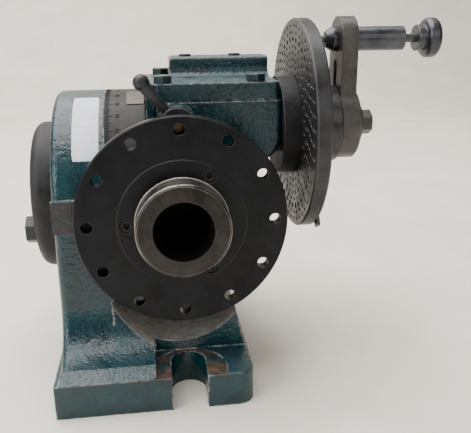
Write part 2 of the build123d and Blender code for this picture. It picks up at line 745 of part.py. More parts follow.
with BuildPart() as front_bearing_cone:
    bearing(front_cone_front, front_bearing_width, front_journal_radius, front_seat_radius,
            front_roller_radius, False)
save(front_bearing_cone.part, "front_bearing_cone")

with BuildPart() as front_bearing_rollers:
    taper_rollers(front_cone_front, front_bearing_width,
                  (front_journal_radius + front_seat_radius) / 2, front_roller_radius,
                  front_roller_count)
save(front_bearing_rollers.part, "front_bearing_rollers")

with BuildPart() as rear_bearing_cup:
    bearing(rear_cone_front, rear_bearing_width, rear_journal_radius, rear_seat_radius,
            rear_roller_radius, True)
save(rear_bearing_cup.part, "rear_bearing_cup")

with BuildPart() as rear_bearing_cone:
    bearing(rear_cone_front, rear_bearing_width, rear_journal_radius, rear_seat_radius,
            rear_roller_radius, False)
save(rear_bearing_cone.part, "rear_bearing_cone")

with BuildPart() as rear_bearing_rollers:
    taper_rollers(rear_cone_front, rear_bearing_width,
                  (rear_journal_radius + rear_seat_radius) / 2, rear_roller_radius,
                  rear_roller_count)
save(rear_bearing_rollers.part, "rear_bearing_rollers")

with BuildPart() as front_seal:
    tube(spindle_axis, barrel_front, barrel_front + seal_width, front_seat_radius,
         seal_land_radius + running_fit)
save(front_seal.part, "front_seal")

with BuildPart() as lock_washer:
    tube(spindle_axis, rear_cone_rear, nut_front, lock_washer_radius, nut_thread_radius + mounting_fit)
save(lock_washer.part, "lock_washer")

with BuildPart() as bearing_nut:
    tube(spindle_axis, nut_front, nut_front + nut_width, nut_radius, nut_thread_radius + mounting_fit)
    with BuildSketch(rear_plane(nut_front + nut_width)):
        with PolarLocations(nut_radius, nut_slot_count):
            Rectangle(2 * nut_slot_depth, nut_slot_width)
    extrude(amount=-nut_width, mode=Mode.SUBTRACT)
save(bearing_nut.part, "bearing_nut")

with BuildPart() as rear_cover:
    tube(spindle_axis, barrel_rear, barrel_rear + rear_cover_thickness, rear_cover_radius,
         tail_radius + rear_cover_gap)
    discs(rear_plane(barrel_rear + rear_cover_thickness), rear_screw_places,
          rear_screw_radius + mounting_fit, rear_cover_thickness, Mode.SUBTRACT)
save(rear_cover.part, "rear_cover")

with BuildPart() as rear_cover_screws:
    cap_screws(rear_plane(barrel_rear + rear_cover_thickness), rear_screw_places,
               rear_screw_head_radius, rear_screw_head, rear_screw_radius, rear_screw_reach)
save(rear_cover_screws.part, "rear_cover_screws")

# ---- direct index pin, its spring and lever ---------------------------------------------
with BuildPart() as direct_pin:
    turn([(direct_pin_front, 0), (direct_pin_front, direct_pin_radius - direct_pin_tip),
          (direct_pin_front + direct_pin_tip, direct_pin_radius),
          (direct_pin_rear, direct_pin_radius), (direct_pin_rear, 0)], direct_pin_axis)
save(direct_pin.part, "direct_pin")

with BuildPart() as direct_pin_spring:
    tube(direct_pin_axis, direct_pin_rear + side_gap, pin_bore_end, direct_pin_radius - side_gap,
         direct_pin_radius - side_gap - pin_spring_wire)
save(direct_pin_spring.part, "direct_pin_spring")

with BuildPart() as direct_lever:
    tube(direct_pin_axis, lever_hub_front, lever_hub_rear, lever_hub_radius,
         direct_pin_radius + running_fit)
    lever_plane = Plane(origin=(0, (lever_hub_front + lever_hub_rear) / 2, direct_pin_axis.position.Z),
                        x_dir=(cos(radians(lever_angle)), 0, sin(radians(lever_angle))),
                        z_dir=(0, -1, 0))
    with BuildSketch(lever_plane) as lever_half:
        with BuildLine():
            Polyline((lever_root_reach, 0), (lever_root_reach, lever_root_radius),
                     (lever_length, lever_end_radius), (lever_length, 0), close=True)
        make_face()
    lever_line = Axis(lever_plane.origin, lever_plane.x_dir)
    revolve(lever_half.sketch, axis=lever_line)
    with Locations(lever_plane.location * Location((lever_length, 0, 0))):
        Sphere(lever_ball_radius)
save(direct_lever.part, "direct_lever")

# ---- worm shaft, bush and thrust washers ------------------------------------------------
with BuildPart() as worm_shaft:
    thread_left = -worm_turns * worm_pitch / 2
    thread_base = worm_root_radius - thread_sink
    thread_half_base = worm_thread_thickness / 2 + (worm_pitch_radius - thread_base) * flank
    thread_half_tip = worm_thread_thickness / 2 - gear_module * flank
    with BuildSketch(Plane.XZ.offset(-worm_y)) as thread_section:
        with BuildLine():
            Polyline((thread_left - thread_half_base, worm_z + thread_base),
                     (thread_left - thread_half_tip, worm_z + worm_pitch_radius + gear_module),
                     (thread_left + thread_half_tip, worm_z + worm_pitch_radius + gear_module),
                     (thread_left + thread_half_base, worm_z + thread_base), close=True)
        make_face()
    with BuildLine() as thread_path:
        Helix(pitch=worm_pitch, height=worm_turns * worm_pitch, radius=worm_pitch_radius,
              center=(thread_left, worm_y, worm_z), direction=(1, 0, 0))
    sweep(thread_section.sketch, path=thread_path.line, is_frenet=True)
    turn([(worm_bush_left, 0), (worm_bush_left, worm_journal_radius),
          (worm_bush_right + side_gap, worm_journal_radius),
          (worm_bush_right + side_gap, worm_root_radius),
          (worm_neck_left, worm_root_radius), (worm_neck_left, worm_neck_radius),
          (spigot_right, worm_neck_radius), (spigot_right, crank_seat_radius),
          (crank_boss_right, crank_seat_radius), (crank_boss_right, crank_stud_radius),
          (crank_stud_right, crank_stud_radius), (crank_stud_right, 0)], worm_axis)
    with BuildSketch(Plane.XY.offset(worm_z + crank_seat_radius - crank_key_sink)):
        with Locations((crank_left + crank_boss_length / 2, worm_y)):
            Rectangle(crank_key_length, crank_key_width)
    extrude(amount=crank_key_height, mode=Mode.SUBTRACT)
save(worm_shaft.part, "worm_shaft")

with BuildPart() as worm_bush:
    tube(worm_axis, worm_bush_left, worm_bush_right, worm_bush_radius,
         worm_journal_radius + running_fit)
save(worm_bush.part, "worm_bush")

with BuildPart() as thrust_washer:
    tube(worm_axis, worm_neck_left + side_gap, worm_spigot_left, thrust_washer_radius,
         worm_neck_radius + running_fit)
save(thrust_washer.part, "thrust_washer")

# ---- worm flange and index plate --------------------------------------------------------
with BuildPart() as worm_flange:
    turn([(worm_spigot_left, worm_neck_radius + running_fit),
          (worm_spigot_left, worm_tunnel_radius - mounting_fit),
          (box_right, worm_tunnel_radius - mounting_fit), (box_right, worm_flange_radius),
          (index_seat, worm_flange_radius), (index_seat, spigot_radius),
          (spigot_right, spigot_radius), (spigot_right, worm_neck_radius + running_fit)], worm_axis)
    discs(worm_plane(index_seat), flange_screw_places, flange_screw_head_radius + counterbore_room,
          index_seat - flange_screw_seat, Mode.SUBTRACT)
    discs(worm_plane(index_seat), flange_screw_places, flange_screw_radius + mounting_fit,
          worm_flange_thickness, Mode.SUBTRACT)
    index_screw_places = polar_places(index_screw_circle, index_screw_count)
    index_screw_seat = index_face - side_gap - index_screw_head
    discs(worm_plane(index_seat), index_screw_places, index_screw_radius,
          index_screw_reach - (index_screw_seat - index_seat), Mode.SUBTRACT)
save(worm_flange.part, "worm_flange")

with BuildPart() as worm_flange_screws:
    cap_screws(worm_plane(flange_screw_seat), flange_screw_places, flange_screw_head_radius,
               flange_screw_head, flange_screw_radius, flange_screw_reach)
save(worm_flange_screws.part, "worm_flange_screws")

with BuildPart() as index_plate:
    turn([(index_seat, spigot_radius + mounting_fit),
          (index_seat, index_plate_radius - index_plate_bevel),
          (index_seat + index_plate_bevel, index_plate_radius),
          (index_face - index_plate_bevel, index_plate_radius),
          (index_face, index_plate_radius - index_plate_bevel),
          (index_face, spigot_radius + mounting_fit)], worm_axis)
    index_hole_places = [place for circle, count in index_circles
                         for place in polar_places(circle, count, 90)]
    discs(worm_plane(index_face), index_hole_places, index_hole_radius, index_plate_thickness,
          Mode.SUBTRACT)
    discs(worm_plane(index_face), index_screw_places, index_screw_head_radius + counterbore_room,
          index_face - index_screw_seat, Mode.SUBTRACT)
    discs(worm_plane(index_face), index_screw_places, index_screw_radius + mounting_fit,
          index_plate_thickness, Mode.SUBTRACT)
save(index_plate.part, "index_plate")

with BuildPart() as index_plate_screws:
    cap_screws(worm_plane(index_screw_seat), index_screw_places, index_screw_head_radius,
               index_screw_head, index_screw_radius, index_screw_reach)
save(index_plate_screws.part, "index_plate_screws")


# ---- sector arms, spring washer and collar ----------------------------------------------
def sector_blade(angle):
    """Outline of a sector blade, pointing away from the worm axis at an angle."""
    turned = Location((0, 0, 0), (0, 0, angle))
    with BuildSketch(worm_plane(leading_arm_left) * turned) as blade:
        with BuildLine():
            Polyline((sector_ring_radius - sector_thickness, -sector_arm_width / 2),
                     (sector_reach, -sector_tip_width / 2), (sector_reach, sector_tip_width / 2),
                     (sector_ring_radius - sector_thickness, sector_arm_width / 2), close=True)
        make_face()
    return blade.sketch


with BuildPart() as leading_sector_arm:
    tube(worm_axis, leading_arm_left, leading_arm_left + sector_thickness, sector_ring_radius,
         spigot_radius + running_fit)
    extrude(sector_blade(leading_arm_angle), amount=sector_thickness)
save(leading_sector_arm.part, "leading_sector_arm")

with BuildPart() as trailing_sector_arm:
    extrude(sector_blade(trailing_arm_angle), amount=2 * sector_thickness + side_gap)
    tube(worm_axis, leading_arm_left, trailing_ring_left, sector_ring_radius + side_gap,
         spigot_radius, Mode.SUBTRACT)
    tube(worm_axis, trailing_ring_left, trailing_ring_left + sector_thickness,
         sector_reach + root_reach, sector_step_radius, Mode.SUBTRACT)
    tube(worm_axis, leading_arm_left + sector_thickness, trailing_ring_left, sector_reach + root_reach,
         sector_step_radius, Mode.SUBTRACT)
    tube(worm_axis, trailing_ring_left, trailing_ring_left + sector_thickness, sector_ring_radius,
         spigot_radius + running_fit)
save(trailing_sector_arm.part, "trailing_sector_arm")

with BuildPart() as sector_spring:
    tube(worm_axis, sector_spring_left, sector_spring_left + sector_spring_thickness,
         sector_spring_radius, spigot_radius + mounting_fit)
save(sector_spring.part, "sector_spring")

with BuildPart() as sector_collar:
    turn([(sector_collar_left, spigot_radius + mounting_fit),
          (sector_collar_left, sector_collar_radius - sector_collar_bevel),
          (sector_collar_left + sector_collar_bevel, sector_collar_radius),
          (spigot_right, sector_collar_radius), (spigot_right, spigot_radius + mounting_fit)],
         worm_axis)
save(sector_collar.part, "sector_collar")

# ---- crank ------------------------------------------------------------------------------
with BuildPart() as crank_arm:
    with BuildSketch(worm_plane(crank_left)):
        Circle(crank_arm_root_radius)
        with Locations((0, crank_radius)):
            Circle(crank_eye_radius)
        make_hull()
    extrude(amount=crank_arm_thickness)
    with BuildSketch(worm_plane(crank_left)):
        with Locations((0, crank_slot_place)):
            SlotOverall(crank_slot_length, crank_slot_width, rotation=90)
    extrude(amount=crank_arm_thickness, mode=Mode.SUBTRACT)
    turn([(crank_left, 0), (crank_left, crank_boss_radius),
          (crank_boss_right - crank_boss_bevel, crank_boss_radius),
          (crank_boss_right, crank_boss_radius - crank_boss_bevel), (crank_boss_right, 0)], worm_axis)
    rod(worm_axis, crank_left, crank_boss_right, crank_seat_radius + mounting_fit, Mode.SUBTRACT)
    rod(plunger_axis, crank_left, crank_boss_right, sleeve_radius + mounting_fit, Mode.SUBTRACT)
    with BuildSketch(worm_plane(crank_left)):
        with Locations((0, crank_seat_radius)):
            Rectangle(crank_key_width, 2 * (crank_key_height - crank_key_sink + mounting_fit))
    extrude(amount=crank_boss_length, mode=Mode.SUBTRACT)
save(crank_arm.part, "crank_arm")

with BuildPart() as crank_key:
    with BuildSketch(Plane.XY.offset(worm_z + crank_seat_radius - crank_key_sink)):
        with Locations((crank_left + crank_boss_length / 2, worm_y)):
            Rectangle(crank_key_length, crank_key_width)
    extrude(amount=crank_key_height)
save(crank_key.part, "crank_key")

with BuildPart() as crank_washer:
    tube(worm_axis, crank_boss_right, crank_nut_left, crank_washer_radius,
         crank_stud_radius + mounting_fit)
save(crank_washer.part, "crank_washer")

with BuildPart() as crank_nut:
    hexagons(worm_plane(crank_nut_left), [(0, 0)], crank_nut_flats, crank_nut_height)
    rod(worm_axis, crank_nut_left, crank_nut_left + crank_nut_height,
        crank_stud_radius + mounting_fit, Mode.SUBTRACT)
save(crank_nut.part, "crank_nut")

# ---- index plunger ----------------------------------------------------------------------
with BuildPart() as plunger_sleeve:
    turn([(sleeve_left, plunger_pin_radius + running_fit), (sleeve_left, sleeve_nose_radius),
          (sleeve_left + sleeve_nose_length, sleeve_radius), (sleeve_right, sleeve_radius),
          (sleeve_right, plunger_rod_radius + running_fit),
          (sleeve_right - sleeve_rear_wall, plunger_rod_radius + running_fit),
          (sleeve_right - sleeve_rear_wall, plunger_chamber_radius),
          (sleeve_left + sleeve_front_wall, plunger_chamber_radius),
          (sleeve_left + sleeve_front_wall, plunger_pin_radius + running_fit)], plunger_axis)
save(plunger_sleeve.part, "plunger_sleeve")

with BuildPart() as plunger_pin:
    collar_right = plunger_collar_left + plunger_collar_width
    turn([(plunger_tip, 0), (plunger_tip, plunger_tip_radius),
          (plunger_tip + plunger_tip_length, plunger_pin_radius),
          (plunger_collar_left, plunger_pin_radius), (plunger_collar_left, plunger_collar_radius),
          (collar_right, plunger_collar_radius), (collar_right, plunger_rod_radius),
          (knob_step_left + knob_step_length, plunger_rod_radius),
          (knob_step_left + knob_step_length, 0)], plunger_axis)
save(plunger_pin.part, "plunger_pin")

with BuildPart() as plunger_spring:
    tube(plunger_axis, collar_right + side_gap, sleeve_right - sleeve_rear_wall,
         plunger_rod_radius + side_gap + plunger_spring_wire, plunger_rod_radius + side_gap)
save(plunger_spring.part, "plunger_spring")

with BuildPart() as plunger_knob:
    rod(plunger_axis, knob_step_left + knob_step_length, knob_step_left + knob_step_length + knob_length,
        knob_radius)
    fillet(plunger_knob.edges(), knob_round)
    rod(plunger_axis, knob_step_left, knob_step_left + knob_step_length + root_reach, knob_step_radius)
    rod(plunger_axis, knob_step_left, knob_step_left + knob_step_length,
        plunger_rod_radius + mounting_fit, Mode.SUBTRACT)
save(plunger_knob.part, "plunger_knob")
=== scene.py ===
"""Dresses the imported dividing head: its solids' finishes, and the fine pieces that lie on them."""
from __future__ import annotations

import json
import logging
import math
from dataclasses import dataclass
from enum import Enum
from functools import partial
from typing import Callable

import bmesh
import bpy
from mathutils import Matrix, Vector

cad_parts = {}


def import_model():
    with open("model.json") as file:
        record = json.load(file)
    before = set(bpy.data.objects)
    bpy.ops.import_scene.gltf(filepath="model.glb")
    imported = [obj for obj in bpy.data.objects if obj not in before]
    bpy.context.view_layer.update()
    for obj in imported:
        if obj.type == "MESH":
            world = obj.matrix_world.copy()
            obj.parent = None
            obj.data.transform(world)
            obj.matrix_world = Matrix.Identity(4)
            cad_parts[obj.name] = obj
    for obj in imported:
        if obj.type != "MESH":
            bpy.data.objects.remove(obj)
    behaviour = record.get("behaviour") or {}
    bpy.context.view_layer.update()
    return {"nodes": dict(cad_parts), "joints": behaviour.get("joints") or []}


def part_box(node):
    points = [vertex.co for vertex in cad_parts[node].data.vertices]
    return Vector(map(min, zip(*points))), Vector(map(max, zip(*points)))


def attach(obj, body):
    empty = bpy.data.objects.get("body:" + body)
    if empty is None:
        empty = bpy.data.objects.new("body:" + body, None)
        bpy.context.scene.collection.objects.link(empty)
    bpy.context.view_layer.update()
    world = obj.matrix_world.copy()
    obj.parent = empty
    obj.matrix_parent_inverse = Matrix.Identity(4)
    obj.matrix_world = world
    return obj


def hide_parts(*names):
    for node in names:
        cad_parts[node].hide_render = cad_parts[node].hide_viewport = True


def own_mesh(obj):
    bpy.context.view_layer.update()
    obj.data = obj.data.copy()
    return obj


log = logging.getLogger("dividing_head")

MM = 0.001
SHARP = math.radians(35)
QUARTER = math.pi / 2
# How well the rounded normal agrees with the true one, on a flat and on an edge.
FLAT_MATCH, EDGE_MATCH = 0.985, 0.80
Adder = Callable[..., bpy.types.Node]
Point = tuple[float, float, float]


# ---- small helpers ----------------------------------------------------------------------
def linear(code: str) -> tuple[float, float, float, float]:
    """Turn an sRGB hex code into a linear colour.

    Args:
        code: Six hex digits after a hash sign.

    Returns:
        Linear red, green and blue, with an alpha of one.
    """
    values = [int(code[place:place + 2], 16) / 255 for place in (1, 3, 5)]
    parts = [v / 12.92 if v <= 0.04045 else ((v + 0.055) / 1.055) ** 2.4 for v in values]
    return (parts[0], parts[1], parts[2], 1.0)


def add_node(tree: bpy.types.NodeTree, kind: str, sockets: dict | None = None,
             **settings: object) -> bpy.types.Node:
    """Add a node, with its settings, input values and links.

    Args:
        tree: The tree that gets the node.
        kind: Blender's name for the node's type.
        sockets: Input name or number, to a value, to the output that feeds it, to a node whose
            first output in use feeds it, or to a list of such nodes.
        **settings: The node's own settings, which decide what inputs and outputs are in use.

    Returns:
        The new node.
    """
    node = tree.nodes.new(kind)
    for name, value in settings.items():
        setattr(node, name, value)
    for name, value in (sockets or {}).items():
        target = node.inputs[name] if isinstance(name, int) else next(
            socket for socket in node.inputs if socket.name == name and socket.enabled)
        for source in value if isinstance(value, list) else [value]:
            if isinstance(source, bpy.types.Node):
                source = next(socket for socket in source.outputs if socket.enabled)
            if isinstance(source, bpy.types.NodeSocket):
                tree.links.new(source, target)
            else:
                target.default_value = source
    return node


def mesh_piece(name: str, shape: bmesh.types.BMesh, smooth: bool = True) -> bpy.types.Object:
    """Turn a bmesh into a linked object at the origin.

    Args:
        name: The piece's name.
        shape: Its mesh, in the row frame, in metres. It is freed.
        smooth: Whether its faces are shaded smooth.

    Returns:
        The new object.
    """
    bmesh.ops.recalc_face_normals(shape, faces=shape.faces)
    for face in shape.faces:
        face.smooth = smooth
    mesh = bpy.data.meshes.new(name)
    shape.to_mesh(mesh)
    shape.free()
    if smooth:
        mesh.set_sharp_from_angle(angle=SHARP)
    return linked(name, mesh)


def linked(name: str, data: bpy.types.ID) -> bpy.types.Object:
    """Make an object of that data and link it to the scene.

    Args:
        name: The object's name.
        data: Its mesh, curve, light or camera.

    Returns:
        The new object.
    """
    holder = bpy.data.objects.new(name, data)
    bpy.context.scene.collection.objects.link(holder)
    return holder


def plain_mesh(holder: bpy.types.Object) -> bpy.types.Mesh:
    """Give what an object's text or live modifier makes, as a mesh of its own."""
    graph = bpy.context.evaluated_depsgraph_get()
    return bpy.data.meshes.new_from_object(holder.evaluated_get(graph))


def settle(piece: bpy.types.Object, name: str, material: bpy.types.Material) -> None:
    """Turn a piece's live modifier into a plain mesh of its own, in one material.

    Args:
        piece: An object with one live modifier.
        name: The finished piece's name.
        material: The material of it all.
    """
    piece.data = plain_mesh(piece)
    piece.modifiers.clear()
    piece.name = piece.data.name = name
    piece.data.materials.clear()
    piece.data.materials.append(material)


def close_rings(shape: bmesh.types.BMesh, rings: list[list[bmesh.types.BMVert]]) -> None:
    """Join each ring of corners to the next one with faces.

    Args:
        shape: The mesh that holds the corners.
        rings: The rings in order, each with as many corners as the others.
    """
    for first, second in zip(rings, rings[1:]):
        for corner in range(len(first)):
            after = (corner + 1) % len(first)
            shape.faces.new((first[corner], first[after], second[after], second[corner]))


@dataclass(frozen=True)
class Places:
    """Where the head's axes and its drum lie, as the frame says."""

    swivel: Point
    worm: Point
    plunger: Point
    drum_left: float
    drum_right: float
    drum_radius: float

    @classmethod
    def read(cls, joints: list[dict]) -> Places:
        """Take the axes from the joints, and the rest from the boxes of two nodes.

        Args:
            joints: The frame's joints.

        Returns:
            The places, in metres.
        """
        pivots = {joint["name"]: tuple(joint.get("pos_m", ())) for joint in joints}
        worm = pivots["crank_turn"]
        sleeve_low, sleeve_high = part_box("plunger_sleeve")
        low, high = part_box("swivel_drum")
        return cls(swivel=pivots["head_tilt"], worm=worm,
                   plunger=(worm[0], worm[1], (sleeve_low.z + sleeve_high.z) / 2),
                   drum_left=low.x, drum_right=high.x, drum_radius=(high.z - low.z) / 2)


class GeometryTree:
    """A Geometry Nodes tree with named inputs that ends in Realize Instances and Set Material."""

    def __init__(self, name: str, inputs: dict[str, int | float]) -> None:
        """Start the tree.

        Args:
            name: The tree's name.
            inputs: Input name to its value, a count or a size.
        """
        self.tree = bpy.data.node_groups.new(name, "GeometryNodeTree")
        self.node: Adder = partial(add_node, self.tree)
        face = self.tree.interface
        face.new_socket("Geometry", in_out="INPUT", socket_type="NodeSocketGeometry")
        self.values = {}
        for label, value in inputs.items():
            kind = "NodeSocketInt" if isinstance(value, int) else "NodeSocketFloat"
            socket = face.new_socket(label, in_out="INPUT", socket_type=kind)
            self.values[socket.identifier] = value
        face.new_socket("Geometry", in_out="OUTPUT", socket_type="NodeSocketGeometry")
        self.source = self.node("NodeGroupInput")

    def input(self, name: str) -> bpy.types.NodeSocket:
        """Give the output of the group input with that name."""
        return self.source.outputs[name]

    def round_x(self, across: bpy.types.Node, angle: bpy.types.Node, middle: Point,
                ahead: float | bpy.types.Node,
                above: float | bpy.types.NodeSocket) -> bpy.types.Node:
        """Work out a position at an angle round an axis along X.

        Args:
            across: The position along the axis.
            angle: The angle, which is zero along Y.
            middle: A point on the axis.
            ahead: The radius along Y, negative where zero is at the front.
            above: The radius along Z.

        Returns:
            The node that holds the position.
        """
        parts = [across]
        for wave, reach, centre in (("COSINE", ahead, middle[1]), ("SINE", above, middle[2])):
            share = self.node("ShaderNodeMath", {0: angle}, operation=wave)
            parts.append(self.node("ShaderNodeMath", {0: share, 1: reach, 2: centre},
                                   operation="MULTIPLY_ADD"))
        return self.node("ShaderNodeCombineXYZ", dict(enumerate(parts)))

    def run(self, piece: bpy.types.Object, geometry: bpy.types.Node,
            material: bpy.types.Material) -> bpy.types.Object:
        """End the tree, run it on a piece and keep its result as a plain mesh.

        Args:
            piece: The object whose mesh is the tree's input.
            geometry: The node that holds what the tree makes.
            material: The material of it all.

        Returns:
            The same object with the finished mesh.
        """
        real = self.node("GeometryNodeRealizeInstances", {0: geometry})
        dressed = self.node("GeometryNodeSetMaterial", {"Geometry": real, "Material": material})
        self.node("NodeGroupOutput", {0: dressed})
        modifier = piece.modifiers.new(self.tree.name, "NODES")
        modifier.node_group = self.tree
        for identifier, value in self.values.items():
            modifier[identifier] = value
        settle(piece, piece.name, material)
        return piece


# ---- finishes ---------------------------------------------------------------------------
def grain(place: bpy.types.NodeSocket, size_mm: float, detail: float, rough: float) -> dict:
    """Give the inputs of a noise whose grains have a real size.

    Args:
        place: The coordinates.
        size_mm: How many millimetres one grain is across.
        detail: The octaves of finer grain.
        rough: How strong the finer grain is.

    Returns:
        The value of each input by name.
    """
    return {"Vector": place, "Scale": 1 / (size_mm * MM), "Detail": detail, "Roughness": rough}


def span(value: bpy.types.Node | bpy.types.NodeSocket, low: float, high: float,
         first: float = 0.0, last: float = 1.0) -> dict:
    """Give the inputs that stretch a value from one range to another.

    Args:
        value: What is stretched.
        low: The value that becomes first.
        high: The value that becomes last.
        first: The result at low and before it.
        last: The result at high and past it.

    Returns:
        The value of each input by name.
    """
    return {"Value": value, "From Min": low, "From Max": high, "To Min": first, "To Max": last}


class Lathe(Enum):
    """The direction of the axis that a piece was turned about, as the parts that lie across it."""

    ALONG_X = (0.0, 1.0, 1.0)
    ALONG_Y = (1.0, 0.0, 1.0)


@dataclass(frozen=True)
class Shader:
    """What every finish shares: a named material whose nodes end in one Principled shader."""

    name: str
    roughness: float = 0.5
    swing: tuple[float, float] = (0.0, 0.0)

    def start(self) -> tuple[bpy.types.Material, Adder, bpy.types.NodeSocket]:
        """Make the empty material.

        Returns:
            The material, what adds a node to it, and the object coordinates.
        """
        material = bpy.data.materials.new(self.name)
        material.use_nodes = True
        material.node_tree.nodes.clear()
        node = partial(add_node, material.node_tree)
        return material, node, node("ShaderNodeTexCoord").outputs["Object"]

    def gloss(self) -> tuple[float, float]:
        """Give the least and the most of a roughness that swings about its usual value."""
        return self.roughness + self.swing[0], self.roughness + self.swing[1]

    @staticmethod
    def edges(node: Adder, radius_mm: float) -> tuple[bpy.types.Node, bpy.types.Node]:
        """Find the edges of a piece.

        Args:
            node: What adds a node to the material.
            radius_mm: How far from an edge counts.

        Returns:
            The normal rounded at edges, and a value that is one on an edge and zero on a flat.
        """
        soft = node("ShaderNodeBevel", {"Radius": radius_mm * MM}, samples=4)
        flat = node("ShaderNodeNewGeometry").outputs["True Normal"]
        match = node("ShaderNodeVectorMath", {0: soft, 1: flat}, operation="DOT_PRODUCT")
        return soft, node("ShaderNodeMapRange", span(match, FLAT_MATCH, EDGE_MATCH))

    @staticmethod
    def reach(node: Adder, shifted: bpy.types.Node, lathe: Lathe) -> bpy.types.Node:
        """Work out the distance from an axis.

        Args:
            node: What adds a node to the material.
            shifted: The place as seen from a point on the axis.
            lathe: The axis's direction.

        Returns:
            The node that holds the distance.
        """
        flat = node("ShaderNodeVectorMath", {0: shifted, 1: lathe.value}, operation="MULTIPLY")
        return node("ShaderNodeVectorMath", {0: flat}, operation="LENGTH")

    @staticmethod
    def layered(node: Adder, base: str | bpy.types.Node,
                layers: list[tuple[bpy.types.Node, str | bpy.types.Node]]) -> bpy.types.Node:
        """Lay colours over each other.

        Args:
            node: What adds a node to the material.
            base: The lowest colour, as a hex code or a node.
            layers: A mask and a colour for each layer, from the lowest up.

        Returns:
            The node that holds the colour.
        """
        for mask, colour in layers:
            lower, upper = (linear(c) if isinstance(c, str) else c for c in (base, colour))
            base = node("ShaderNodeMix", {"Factor": mask, "A": lower, "B": upper}, data_type="RGBA")
        return base

    @staticmethod
    def surface(node: Adder, relief: dict, sockets: dict) -> None:
        """End the material with its relief, its shader and its output.

        Args:
            node: What adds a node to the material.
            relief: The inputs of the bump.
            sockets: The other inputs of the shader.
        """
        bump = node("ShaderNodeBump", relief)
        shader = node("ShaderNodeBsdfPrincipled", {**sockets, "Normal": bump})
        node("ShaderNodeOutputMaterial", {"Surface": shader})


@dataclass(frozen=True)
class BareZone:
    """A face of a painted casting that was machined and left bare, found by its place."""

    low: Point
    high: Point
    dark: str = "#38322e"
    light: str = "#5a534e"
    axis: Point | tuple[()] = ()
    radius: float = 0.0
    slack: float = 0.6 * MM
    grime_mm: float = 0.0

    def mask(self, node: Adder, place: bpy.types.NodeSocket) -> bpy.types.Node:
        """Give one inside the zone's box and, if it has an axis along Y, on that cylinder only.

        Args:
            node: What adds a node to the material.
            place: The object coordinates.

        Returns:
            The node that holds the mask.
        """
        above = node("ShaderNodeVectorMath", {0: place, 1: self.low}, operation="SUBTRACT")
        below = node("ShaderNodeVectorMath", {0: self.high, 1: place}, operation="SUBTRACT")
        least = node("ShaderNodeVectorMath", {0: above, 1: below}, operation="MINIMUM")
        x, y, z = node("ShaderNodeSeparateXYZ", {0: least}).outputs
        deep = node("ShaderNodeMath", {0: x, 1: y}, operation="MINIMUM")
        deep = node("ShaderNodeMath", {0: deep, 1: z}, operation="MINIMUM")
        inside = node("ShaderNodeMath", {0: deep, 1: 0.0}, operation="GREATER_THAN")
        if self.grime_mm:
            grime = node("ShaderNodeTexNoise", grain(place, self.grime_mm, 5.0, 0.7))
            patches = node("ShaderNodeMapRange", span(grime, 0.38, 0.52))
            inside = node("ShaderNodeMath", {0: inside, 1: patches}, operation="MULTIPLY")
        if not self.axis:
            return inside
        shifted = node("ShaderNodeVectorMath", {0: place, 1: self.axis}, operation="SUBTRACT")
        reach = Shader.reach(node, shifted, Lathe.ALONG_Y)
        near = node("ShaderNodeMath", {0: reach, 1: self.radius, 2: self.slack},
                    operation="COMPARE")
        return node("ShaderNodeMath", {0: inside, 1: near}, operation="MULTIPLY")


# The machined faces of the base, in metres in the row frame.
BASE_ZONES = (
    # The trough bored along the foot: dull bright iron, handled but never painted, made paler than
    # such iron as painted light.
    BareZone(low=(-0.055, -0.14, 0.03), high=(0.06, 0.14, 0.09), axis=(-0.005, 0.0, 0.088),
             radius=0.054, dark="#63615e", light="#928f8a"),
    # The spot faces round the bolt slots: patches of rust where washers wore the paint off.
    BareZone(low=(-0.09, -0.14, 0.0252), high=(0.05, 0.14, 0.0257), dark="#2a2523",
             light="#66503e", grime_mm=16.0),
    # The faced front of the left cheek: oil-black.
    BareZone(low=(-0.10, -0.09, 0.10), high=(-0.05, -0.0855, 0.16), dark="#1b1c1e",
             light="#2c2d2f"),
    # The ground underside: bare brown-grey iron.
    BareZone(low=(-0.12, -0.15, -0.001), high=(0.06, 0.15, 0.0002)),
)


